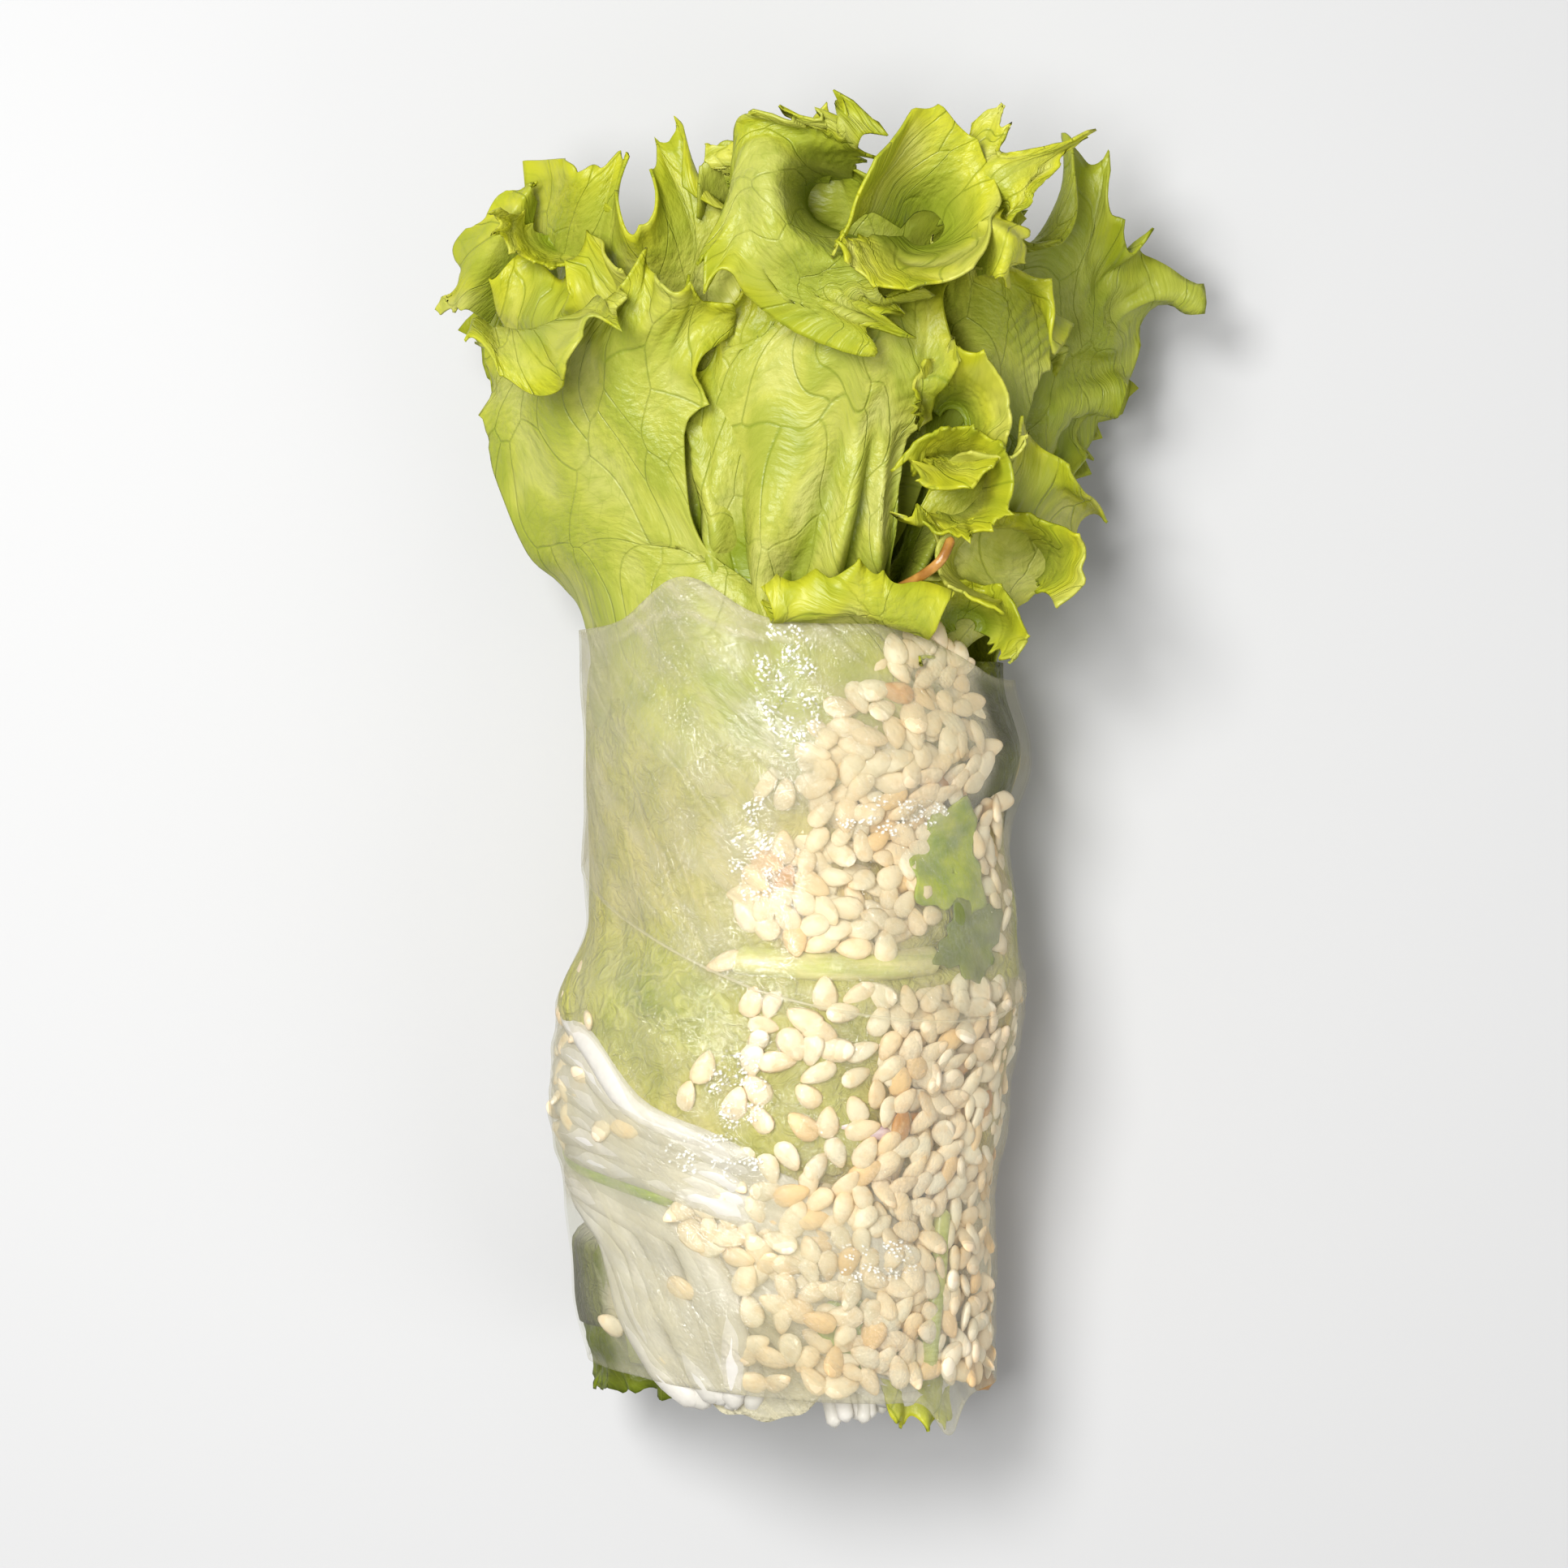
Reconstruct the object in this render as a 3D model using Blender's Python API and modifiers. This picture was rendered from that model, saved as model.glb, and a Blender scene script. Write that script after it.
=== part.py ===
"""A rice paper roll lying on its side: film round lettuce, noodles and herbs, frilly leaves out of its mouth.

+Y runs along the roll towards the leaves, +Z is up, and the origin is on the flat underside, halfway along the
film. Sizes are in millimetres here and are turned into metres by MM.
"""

import math

import bmesh
import bpy
from mathutils import Matrix, Vector

MM = 0.001

# The roll's driving sizes. The film is unrolled in places: a is the distance round its girth from the crest,
# growing to the right, and y runs along the roll.
FILM_WALL = 0.8
UNROLL_R = 18.0
FILM_BOTTOM, FILM_TOP = -34.0, 34.5
CORE_BOTTOM, CORE_TOP = -33.0, 27.5
LEAF_START = 28.5
LEAF_THICK = 0.9

# The cross-section: how high its middle lies, how far it sags below, and how boxy its lower half is.
CENTRE_RISE = 0.47
SQUASH = 0.8
LOW_BOXINESS = 0.86

# The film's ends: a raised lip and a fall at the mouth, and a torn tab at the open end.
LIP_A, LIP_WIDTH, LIP_HEIGHT = -9.5, 5.0, 4.3
FALL_FROM, FALL_TO, FALL_BACK_FROM, FALL_BACK_TO, FALL_DEPTH = 6.0, 21.0, 30.0, 54.0, 4.6
TAB_A, TAB_WIDTH, TAB_LENGTH = 15.5, 2.2, 3.4
END_SLANT, END_WAVE, END_PHASE = 0.9, 0.5, 0.8

# Room between the pieces. A pocket reaches out through the filling's skin if its piece lies above OPEN_DEPTH.
GAP = 0.3
CORE_GAP = 0.5
POCKET_REACH = 2.5
OPEN_DEPTH = 2.0

# How square the filling is: seen from the side at its ends, and in how its rings are spaced along the roll.
CORE_BOXINESS = 0.16
CORE_END_BOXINESS = 0.9

# How finely the pieces are faceted, and how near two points are before they are joined.
WELD = 1e-4
FILM_COLUMNS, FILM_ROWS = 29, 9
CORE_DETAIL = (24, 12)
SLIVER_DETAIL = (8, 8)
LEAF_COLUMNS, LEAF_ROWS, CURLED_LEAF_ROWS = 11, 6, 10

# Stations along the roll: y, sideways centre, width, height.
STATIONS = (
    (-35.0, -0.2, 38.0, 30.0),
    (-26.0, -1.0, 39.3, 31.5),
    (-18.0, -1.4, 39.5, 32.0),
    (-9.0, -1.6, 42.4, 33.0),
    (0.0, -0.5, 43.2, 33.6),
    (8.0, 0.7, 39.9, 32.4),
    (15.0, 0.2, 38.9, 31.6),
    (23.0, 1.2, 41.4, 32.6),
    (30.0, 0.2, 40.3, 31.8),
    (38.0, 0.2, 40.5, 31.0),
)

COLOURS = {
    "rice_paper": ((0.80, 0.80, 0.62), 0.25),
    "lettuce": ((0.50, 0.58, 0.12), 0.45),
    "lettuce_pale": ((0.66, 0.68, 0.34), 0.45),
    "noodle": ((0.82, 0.80, 0.70), 0.35),
    "herb": ((0.13, 0.25, 0.04), 0.50),
    "stem": ((0.52, 0.60, 0.20), 0.40),
    "carrot": ((0.85, 0.33, 0.05), 0.40),
    "sesame": ((0.86, 0.70, 0.44), 0.40),
    "shallot": ((0.35, 0.13, 0.05), 0.55),
}


def clear_scene():
    for obj in list(bpy.data.objects):
        bpy.data.objects.remove(obj)


def new_collection(name):
    collection = bpy.data.collections.new(name)
    bpy.context.scene.collection.children.link(collection)
    return collection


def make_material(name):
    colour, roughness = COLOURS[name]
    material = bpy.data.materials.new(name)
    material.use_nodes = True
    shader = material.node_tree.nodes["Principled BSDF"]
    shader.inputs["Base Color"].default_value = (*colour, 1.0)
    shader.inputs["Roughness"].default_value = roughness
    shader.inputs["Metallic"].default_value = 0.0
    return material


def power(value, exponent):
    return math.copysign(abs(value) ** exponent, value)


def ramp(value, start, end):
    """Rises smoothly from 0 at start to 1 at end."""
    t = min(max((value - start) / (end - start), 0.0), 1.0)
    return t * t * (3.0 - 2.0 * t)


def station(y):
    """Sideways centre, width and height of the roll at y, eased between the stations."""
    y = min(max(y, STATIONS[0][0]), STATIONS[-1][0])
    for low, high in zip(STATIONS, STATIONS[1:]):
        if y <= high[0]:
            t = ramp(y, low[0], high[0])
            return [a + (b - a) * t for a, b in zip(low[1:], high[1:])]
    return list(STATIONS[-1][1:])


def wrap(a, y, depth, share=1.0):
    """The point a along the girth, at y, and depth below the film's surface. Share draws it to the middle."""
    centre, width, height = station(y)
    angle = math.pi / 2 - a / UNROLL_R
    side, rise = math.cos(angle), math.sin(angle)
    middle = CENTRE_RISE * height
    x = (width / 2 - depth) * side
    if rise >= 0:
        z = (height - middle - depth) * rise
    else:
        x = (width / 2 - depth) * power(side, LOW_BOXINESS)
        z = (middle + SQUASH - depth) * power(rise, LOW_BOXINESS)
    z = max(middle + z, depth) - middle
    return Vector((centre + x * share, y, middle + z * share))


def film_top(a):
    """The mouth's uneven edge: a raised lip on the left of the crest, falling away to the right."""
    lip = LIP_HEIGHT * math.exp(-(((a - LIP_A) / LIP_WIDTH) ** 2))
    fall = FALL_DEPTH * ramp(a, FALL_FROM, FALL_TO) * (1.0 - ramp(a, FALL_BACK_FROM, FALL_BACK_TO))
    return FILM_TOP + lip - fall


def film_bottom(a):
    """The open end's edge: shorter on the left of the crest, with a small torn tab on the right."""
    angle = a / UNROLL_R
    tab = TAB_LENGTH * math.exp(-(((a - TAB_A) / TAB_WIDTH) ** 2))
    return FILM_BOTTOM - END_SLANT * math.sin(angle) - END_WAVE * math.sin(2.0 * angle + END_PHASE) - tab


def link(obj, collection, material):
    obj.data.materials.append(material)
    collection.objects.link(obj)
    return obj


def object_from(name, bm, smooth_angle=40.0):
    mesh = bpy.data.meshes.new(name)
    bm.to_mesh(mesh)
    bm.free()
    mesh.transform(Matrix.Scale(MM, 4))
    mesh.shade_smooth()
    mesh.set_sharp_from_angle(angle=math.radians(smooth_angle))
    return bpy.data.objects.new(name, mesh)


def grid(columns, rows, place):
    """A grid of quads whose corners go where place(u, v) says, with u and v from 0 to 1."""
    bm = bmesh.new()
    bmesh.ops.create_grid(bm, x_segments=columns, y_segments=rows, size=1.0)
    for vert in bm.verts:
        vert.co = place((vert.co.x + 1.0) / 2.0, (vert.co.y + 1.0) / 2.0)
    return bm


def add_thickness(obj, thickness, offset):
    """Solidifies a sheet. Offset 1 puts the new side along the normals, and 0 splits it between both sides."""
    solidify = obj.modifiers.new("thickness", "SOLIDIFY")
    solidify.thickness = thickness * MM
    solidify.offset = offset


def make_film(collection, materials):
    """The rolled rice paper: a tube open at both ends."""
    girth = math.tau * UNROLL_R

    def place(u, v):
        a = (0.5 - u) * girth
        low, high = film_bottom(a), film_top(a)
        return wrap(a, low + (high - low) * v, FILM_WALL)

    bm = grid(FILM_COLUMNS, FILM_ROWS, place)
    bmesh.ops.remove_doubles(bm, verts=bm.verts, dist=WELD)
    bmesh.ops.recalc_face_normals(bm, faces=bm.faces)
    film = object_from("wrapper", bm)
    add_thickness(film, FILM_WALL, 1.0)
    return link(film, collection, materials["rice_paper"])


def make_blob(name, segments, rings, place):
    """A closed ball whose points go where place(x, y, z) says, given the point on the unit ball."""
    bm = bmesh.new()
    bmesh.ops.create_uvsphere(bm, u_segments=segments, v_segments=rings, radius=1.0)
    for vert in bm.verts:
        vert.co = place(*vert.co)
    if bm.calc_volume(signed=True) < 0.0:
        bmesh.ops.reverse_faces(bm, faces=bm.faces)
    return object_from(name, bm)


def core_place(x, y, z):
    """The filling fills the film from end to end, with rounded ends."""
    radius = math.hypot(x, y)
    share = radius**CORE_BOXINESS if radius > WELD else 0.0
    a = UNROLL_R * (math.pi / 2 - math.atan2(y, x))
    along = (power(z, CORE_END_BOXINESS) + 1.0) / 2.0
    return wrap(a, CORE_BOTTOM + (CORE_TOP - CORE_BOTTOM) * along, FILM_WALL + CORE_GAP, share)


def draped_place(centre, size, turn, depth, boxiness, reach=0.0):
    """Places a ball as a flat piece of that length, width and thickness on the unrolled film.

    It is turned clockwise from +Y, and reach stretches its outer half towards the film.
    """
    length, width, thick = size
    turn = math.radians(turn)

    def place(x, y, z):
        along = power(z, boxiness) * length / 2
        across = power(x, boxiness) * width / 2
        out = y * (thick / 2 + (reach if y > 0.0 else 0.0))
        a = centre[0] + along * math.sin(turn) + across * math.cos(turn)
        s = centre[1] + along * math.cos(turn) - across * math.sin(turn)
        return wrap(a, s, depth + thick / 2 - out)

    return place


# Pieces that lie against the film: centre on the unrolled film, (length, width, thickness), clockwise turn
# from +Y, depth, boxiness, (segments, rings) and material.
DRAPED = {
    "noodle_band": ((-9.5, -10.0), (35.0, 8.4, 5.5), 116.0, 1.4, 0.55, (12, 12), "noodle"),
    "noodle_bunch": ((-9.8, -27.3), (17.6, 15.0, 8.0), -22.0, 1.4, 0.55, (12, 10), "noodle"),
    "coriander_leaf_upper": ((14.4, 13.2), (7.0, 6.4, 0.9), 10.0, 1.3, 0.8, (10, 6), "herb"),
    "coriander_leaf_lower": ((15.6, 7.0), (6.0, 4.2, 0.9), 70.0, 1.3, 0.8, (10, 6), "herb"),
    "herb_leaf_small": ((6.6, -29.6), (6.6, 4.6, 0.9), 20.0, 1.3, 0.8, (10, 6), "herb"),
    "herb_stem_middle": ((3.6, 4.0), (18.2, 2.5, 2.2), 88.0, 1.3, 0.45, (8, 8), "stem"),
    "herb_stem_left": ((-14.5, -17.0), (17.0, 1.5, 1.5), 101.0, 1.3, 0.45, (8, 8), "stem"),
    "herb_stem_right": ((15.4, -25.5), (15.5, 2.0, 1.8), 8.0, 1.3, 0.45, (8, 8), "stem"),
    "shallot_sliver": ((7.4, -10.2), (5.2, 1.6, 1.0), 96.0, 1.3, 0.7, (8, 6), "shallot"),
    "lettuce_edge_left": ((-26.0, -31.0), (8.0, 11.0, 1.0), 0.0, 1.6, 0.6, (10, 6), "lettuce"),
    "lettuce_edge_right": ((12.0, -32.6), (7.6, 11.0, 1.0), 0.0, 4.2, 0.6, (10, 6), "lettuce"),
}

# The sesame seeds under the film, as two thin layers that make room for the pieces above.
SEED_LAYERS = {
    "sesame_upper": ((6.8, 16.4), (22.6, 19.0, 1.1), -4.0, 1.6, 0.75, (12, 10), "sesame"),
    "sesame_lower": ((12.8, -15.4), (34.0, 26.0, 1.1), 3.0, 1.6, 0.75, (14, 12), "sesame"),
}


def draped_piece(name, centre, size, turn, depth, boxiness, detail):
    return make_blob(name, *detail, draped_place(centre, size, turn, depth, boxiness))


def draped_pocket(name, centre, size, turn, depth, boxiness, detail):
    """The room a piece needs: a gap all round it, and open to the film if it lies near the film."""
    size = [value + 2.0 * GAP for value in size]
    reach = POCKET_REACH if depth < OPEN_DEPTH else 0.0
    return make_blob(name, *detail, draped_place(centre, size, turn, depth - GAP, boxiness, reach))


def cut(target, cutter):
    pocket = target.modifiers.new(cutter.name, "BOOLEAN")
    pocket.operation = "DIFFERENCE"
    pocket.solver = "EXACT"
    pocket.object = cutter


def make_filling(collection, cutters, materials):
    """The lettuce filling, the pieces between it and the film, and the room that it leaves for them."""
    core = link(make_blob("lettuce_filling", *CORE_DETAIL, core_place), collection, materials["lettuce_pale"])
    pockets = []
    for name, (*spec, material) in (DRAPED | SEED_LAYERS).items():
        piece = link(draped_piece(name, *spec), collection, materials[material])
        if name in SEED_LAYERS:
            for pocket in pockets:
                cut(piece, pocket)
        cutter = link(draped_pocket(f"{name}_pocket", *spec), cutters, materials[material])
        cutter.hide_render = True
        cutter.display_type = "WIRE"
        cut(core, cutter)
        if name in DRAPED:
            pockets.append(cutter)


# Leaves: the stretch (from, to) of the girth and the depth at which each leaves the mouth; the left, middle
# and right of its top edge; how far its sides and its middle bow out; the waves across it and their height; and
# the curl of its top as (radius, degrees, straight run after the curl).
LEAVES = {
    "leaf_left": (
        (-26, -6), 1.7, ((-27, 56, 19), (-19, 60, 27), (-10, 60, 30)),
        (3.0, 4.0), (2.5, 1.1), (1.9, 140, 2),
    ),
    "leaf_centre": (
        (-4.5, 10), 3.3, ((-7, 70, 33), (4, 74, 34), (15, 68, 31)),
        (0.5, 2.5), (3.0, 1.4), (2.6, 170, 9),
    ),
    "leaf_flap": (
        (-2, 8.5), 1.7, ((-3, 39, 31.2), (3, 39.5, 32.2), (9, 38.5, 31)),
        (0.2, 0.6), (1.5, 0.4), None,
    ),
    "leaf_right": (
        (12, 22), 4.6, ((14, 52, 28), (21, 54, 23), (26, 49, 15)),
        (1.0, 2.0), (2.5, 1.6), None,
    ),
    "leaf_curl_right": (
        (13, 20), 1.9, ((14.5, 41, 28), (19, 43, 25), (23, 40, 19)),
        (0.5, 0.5), (2.0, 0.7), (1.6, 150, 2),
    ),
    "leaf_back_left": (
        (-20, -7), 6.5, ((-31, 66, 14), (-20, 75, 20), (-10.5, 77, 23)),
        (1.0, 2.0), (2.5, 2.2), None,
    ),
    "leaf_back_centre": (
        (-2.5, 9), 7.0, ((-6, 75, 25), (4, 77, 26), (14, 74, 24)),
        (0.3, 1.0), (3.5, 1.8), None,
    ),
    "leaf_back_right": (
        (10, 20), 7.5, ((17, 75, 22), (24, 73, 16), (29, 62, 9)),
        (1.0, 1.0), (3.0, 1.8), None,
    ),
    "leaf_inner": (
        (-18, 18), 12.0, ((-20, 66, 8), (0, 73, 12), (20, 67, 6)),
        (0.5, 0.0), (4.5, 1.8), None,
    ),
    "leaf_under": (
        (30, 83), 2.0, ((27, 61, 3.5), (0, 68, 3), (-26, 61, 3.5)),
        (-1.0, 0.0), (4.5, 1.4), None,
    ),
}

# How quickly a leaf spreads out once it is clear of the film, how flat its sides are left when its middle
# bows, and the place just short of its tip from which its curl takes its direction.
FLARE = 1.4
SIDE_BOW = 0.5
NEAR_TIP = 0.95

# Carrot shreds: start, end and width.
SLIVERS = {
    "carrot_shred_mouth": ((10.8, 37.4, 26.6), (14.2, 43.6, 30.6), 1.2),
    "carrot_shred_end": ((16.2, -34.4, 12.0), (17.5, -38.0, 12.5), 2.2),
}
SLIVER_BOXINESS = 0.6


def across(points, s):
    """The smooth curve through a top edge's left, middle and right, with s from -1 to 1."""
    left, middle, right = (Vector(p) for p in points)
    return left * (s * (s - 1.0) / 2.0) + middle * (1.0 - s * s) + right * (s * (s + 1.0) / 2.0)


def leaf_place(base, depth, top, bow, wavy, curl):
    """Where the point (u, v) of a leaf's sheet goes: up from the mouth to its top edge, then round its curl.

    Each is from 0 to 1, and v runs up the leaf.
    """
    spread, lift = bow
    waves, height = wavy
    radius, degrees, run = curl or (1.0, 0.0, 0.0)
    turn = math.radians(degrees)

    def blade(s, t):
        a = base[0] + (base[1] - base[0]) * (s + 1.0) / 2.0
        end = across(top, s)
        mouth = film_top(a) + CORE_GAP
        y = LEAF_START + (end.y - LEAF_START) * t
        point = wrap(a, min(y, mouth), depth)
        free = max(y - mouth, 0.0) / (end.y - mouth)
        flare = free**FLARE
        point = Vector((point.x + (end.x - point.x) * flare, y, point.z + (end.z - point.z) * flare))
        hump = free * math.sin(math.pi * free)
        point.x += spread * s * hump
        point.z += lift * hump * (1.0 - SIDE_BOW * s * s)
        point.z += height * free * free * math.sin(math.pi * waves * s)
        point.y += height * free * free * math.cos(math.pi * (waves + 1.0) * s)
        return point

    def place(u, v):
        s = 2.0 * u - 1.0
        length = (blade(s, 1.0) - blade(s, 0.0)).length
        reach = v * (length + radius * turn + run)
        if reach <= length:
            return blade(s, reach / length)
        tip = blade(s, 1.0)
        onward = (tip - blade(s, NEAR_TIP)).normalized()
        outward = (Vector((0, 0, 1)) - onward * onward.z).normalized()
        bent = min((reach - length) / radius, turn)
        rest = reach - length - bent * radius
        return (
            tip
            + onward * (radius * math.sin(bent) + rest * math.cos(bent))
            + outward * (radius * (1.0 - math.cos(bent)) + rest * math.sin(bent))
        )

    return place


def make_leaf(name, collection, materials):
    rows = CURLED_LEAF_ROWS if LEAVES[name][-1] else LEAF_ROWS
    leaf = object_from(name, grid(LEAF_COLUMNS, rows, leaf_place(*LEAVES[name])))
    add_thickness(leaf, LEAF_THICK, 0.0)
    return link(leaf, collection, materials["lettuce"])


def make_sliver(name, collection, materials):
    """A carrot shred: a thin bar with rounded ends."""
    start, end, width = SLIVERS[name]
    start, end = Vector(start), Vector(end)
    half = (end - start).length / 2
    turn = (end - start).to_track_quat("Z", "Y").to_matrix()

    def place(x, y, z):
        bar = Vector([power(value, SLIVER_BOXINESS) for value in (x, y, z)])
        return (start + end) / 2 + turn @ Vector((bar.x * width / 2, bar.y * width / 2, bar.z * half))

    return link(make_blob(name, *SLIVER_DETAIL, place), collection, materials["carrot"])


def main():
    clear_scene()
    parts = new_collection("rice_paper_roll")
    cutters = new_collection("pockets")
    materials = {name: make_material(name) for name in COLOURS}
    make_film(parts, materials)
    make_filling(parts, cutters, materials)
    for name in LEAVES:
        make_leaf(name, parts, materials)
    for name in SLIVERS:
        make_sliver(name, parts, materials)


main()
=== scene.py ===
"""Looks for the rice paper roll: film, seeds, noodles, herbs and frilly lettuce, built round the CAD model.

Lengths are in millimetres in the CAD model's frame, and are turned into metres by MM. Many places are given
on the unrolled film: a is the distance round its girth from the crest, growing to the right, and y runs along
the roll to the leaves.
"""

import math

import bpy
import numpy as np
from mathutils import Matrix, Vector


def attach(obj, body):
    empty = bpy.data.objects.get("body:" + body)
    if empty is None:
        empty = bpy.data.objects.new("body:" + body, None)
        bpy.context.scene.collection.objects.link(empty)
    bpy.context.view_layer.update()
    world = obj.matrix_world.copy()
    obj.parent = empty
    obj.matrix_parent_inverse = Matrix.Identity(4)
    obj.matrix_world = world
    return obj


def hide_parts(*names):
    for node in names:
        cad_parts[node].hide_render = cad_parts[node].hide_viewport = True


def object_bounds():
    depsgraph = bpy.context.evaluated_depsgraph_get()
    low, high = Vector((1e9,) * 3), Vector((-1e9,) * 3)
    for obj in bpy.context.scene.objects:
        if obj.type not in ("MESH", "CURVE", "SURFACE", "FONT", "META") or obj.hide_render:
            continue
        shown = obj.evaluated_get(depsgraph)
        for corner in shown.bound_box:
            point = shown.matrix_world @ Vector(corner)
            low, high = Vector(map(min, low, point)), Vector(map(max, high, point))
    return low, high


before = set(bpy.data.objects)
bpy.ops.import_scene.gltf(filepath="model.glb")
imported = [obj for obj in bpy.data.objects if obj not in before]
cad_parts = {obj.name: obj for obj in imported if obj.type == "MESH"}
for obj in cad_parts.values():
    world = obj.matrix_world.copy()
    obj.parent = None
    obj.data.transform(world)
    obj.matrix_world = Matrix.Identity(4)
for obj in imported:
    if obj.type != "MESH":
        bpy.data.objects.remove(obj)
CAD_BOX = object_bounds()

MM = 0.001
TAU = math.tau

# The roll's own sizes, as in the CAD model: it is unrolled at UNROLL_R, its middle lies at CENTRE_RISE of its
# height, its lower half is boxy, and the floor flattens SQUASH off it.
UNROLL_R = 18
GIRTH = TAU * UNROLL_R
CENTRE_RISE = 0.47
SQUASH = 0.8
LOW_BOXINESS = 0.86
FILM_BOTTOM = -34
FILM_TOP = 33.5
# Along the roll: y, sideways centre, width and height.
STATIONS = np.array((
    (-35, -0.2, 38, 30),
    (-26, -1, 39.3, 31.5),
    (-18, -1.4, 39.5, 32),
    (-9, -1.6, 42.4, 33),
    (0, -0.5, 43.2, 33.6),
    (8, 0.7, 39.9, 32.4),
    (15, 0.2, 38.9, 31.6),
    (23, 1.2, 41.4, 32.6),
    (30, 0.2, 40.3, 31.8),
    (38, 0.2, 40.5, 31),
))

# What only the looks have: where the leaves start inside the mouth, how far their hidden foot reaches in from
# there and sinks, and how thick the sheets are.
LEAF_START = 23
FOOT_REACH = 8
FOOT_SINK = 3
LEAF_THICKNESS = 0.26
EDGE_THICKNESS = 0.3
SPIRAL_THICKNESS = 0.45
HERB_THICKNESS = 0.25
FILM_THICKNESS = 0.22


# ---------------------------------------------------------------- numbers


def ramp(value, start, end):
    """Rises smoothly from 0 at start to 1 at end."""
    t = np.clip((value - start) / (end - start), 0, 1)
    return t * t * (3 - 2 * t)


def hump(value, centre, width):
    """1 at the centre, falling away on both sides as a bell."""
    return np.exp(-(((value - centre) / width) ** 2))


def power(value, exponent):
    """A power that keeps the value's sign."""
    return np.sign(value) * np.abs(value) ** exponent


def drift(seed, *coords):
    """Smooth noise, mostly within -1 and 1, that changes over about one unit of each coordinate."""
    rng = np.random.default_rng(seed)
    total = 0
    for _ in range(7):
        phase = rng.uniform(0, TAU)
        turn = rng.normal(0, 1, len(coords))
        turn = turn / np.linalg.norm(turn) * rng.uniform(1.2, 4.2)
        for coord, rate in zip(coords, turn):
            phase = phase + coord * rate
        total = total + np.sin(phase)
    return total / 2.6


def unit(vectors):
    """Vectors of the same direction, 1 long."""
    return vectors / np.maximum(np.linalg.norm(vectors, axis=-1, keepdims=True), 1e-9)


def station(y):
    """Sideways centre, width and height of the roll at y, eased between the stations."""
    y = np.clip(y, STATIONS[0, 0], STATIONS[-1, 0])
    low = np.clip(np.searchsorted(STATIONS[:, 0], y, side="right") - 1, 0, len(STATIONS) - 2)
    t = ramp(y, STATIONS[low, 0], STATIONS[low + 1, 0])
    return [STATIONS[low, i] + (STATIONS[low + 1, i] - STATIONS[low, i]) * t for i in (1, 2, 3)]


def wrap(a, y, depth=0, share=1):
    """Points in space for a round the girth, y, and depth below the film. Share draws them to the middle."""
    a, y, depth, share = np.broadcast_arrays(*(np.asarray(v, float) for v in (a, y, depth, share)))
    centre, width, height = station(y)
    angle = math.pi / 2 - a / UNROLL_R
    side, rise = np.cos(angle), np.sin(angle)
    middle = CENTRE_RISE * height
    above = rise >= 0
    x = (width / 2 - depth) * np.where(above, side, power(side, LOW_BOXINESS))
    low = (middle + SQUASH - depth) * power(rise, LOW_BOXINESS)
    z = np.where(above, (height - middle - depth) * rise, low)
    z = np.maximum(middle + z, depth) - middle
    return stacked(centre + x * share, y, middle + z * share)


def film_top(a):
    """Where the film ends at the leaves: highest left of the crest, and cut back on the right."""
    lip = 4.3 * hump(a, -9.5, 5)
    return FILM_TOP + 1 + lip - 4.6 * ramp(a, 6, 21) * (1 - ramp(a, 30, 54))


def film_bottom(a):
    """Where the film ends at the open end, wavy, with a small tab on the right."""
    tab = 3.4 * hump(a, 15.5, 2.2)
    return FILM_BOTTOM - 0.9 * np.sin(a / UNROLL_R) - 0.5 * np.sin(2 * a / UNROLL_R + 0.8) - tab


# ---------------------------------------------------------------- meshes


def stacked(*values):
    """Arrays of x, y and z, or of other three numbers, as one array of threes."""
    return np.stack(values, axis=-1)


def new_object(name, points, faces, material, **attributes):
    """A mesh object from points in millimetres, with any point attributes given as arrays."""
    mesh = bpy.data.meshes.new(name)
    points = np.asarray(points, float).reshape(-1, 3) * MM
    mesh.from_pydata(points.tolist(), [], [[int(i) for i in face] for face in faces])
    for key, values in attributes.items():
        values = np.asarray(values, np.float32).reshape(len(points), -1)
        kind, field = ("FLOAT", "value") if values.shape[1] == 1 else ("FLOAT_VECTOR", "vector")
        mesh.attributes.new(key, kind, "POINT").data.foreach_set(field, values.ravel())
    mesh.shade_smooth()
    mesh.materials.append(material)
    mesh.update()
    obj = bpy.data.objects.new(name, mesh)
    bpy.context.scene.collection.objects.link(obj)
    return obj


def grid_faces(rows, columns, ring=False):
    """Quads of a grid of rows by columns points. A ring's last column joins its first."""
    index = np.arange(rows * columns).reshape(rows, columns)
    if ring:
        index = np.concatenate((index, index[:, :1]), axis=1)
    corners = index[:-1, :-1], index[:-1, 1:], index[1:, 1:], index[1:, :-1]
    return np.stack(corners, axis=-1).reshape(-1, 4)


def grid(columns, rows):
    """Places over a sheet: s from -1 to 1 across it, and v from 0 to 1 along it."""
    return np.meshgrid(np.linspace(-1, 1, columns), np.linspace(0, 1, rows))


def girth_grid(columns, rows):
    """Places on the roll: a once round its girth, and v from 0 to 1 along it."""
    a = np.linspace(-GIRTH / 2, GIRTH / 2, columns, endpoint=False)
    return np.meshgrid(a, np.linspace(0, 1, rows))


def solidify(obj, thickness, offset=0):
    """Gives a sheet its thickness: on both sides, or below it if the offset is -1."""
    modifier = obj.modifiers.new("thickness", "SOLIDIFY")
    modifier.thickness = thickness * MM
    modifier.offset = offset
    return obj


def show(obj, slot, *nodes):
    """Puts a finished piece on the roll, in place of the CAD nodes it stands for. The slot is not used."""
    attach(obj, "root")
    if nodes:
        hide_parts(*nodes)


# ---------------------------------------------------------------- materials


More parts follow.
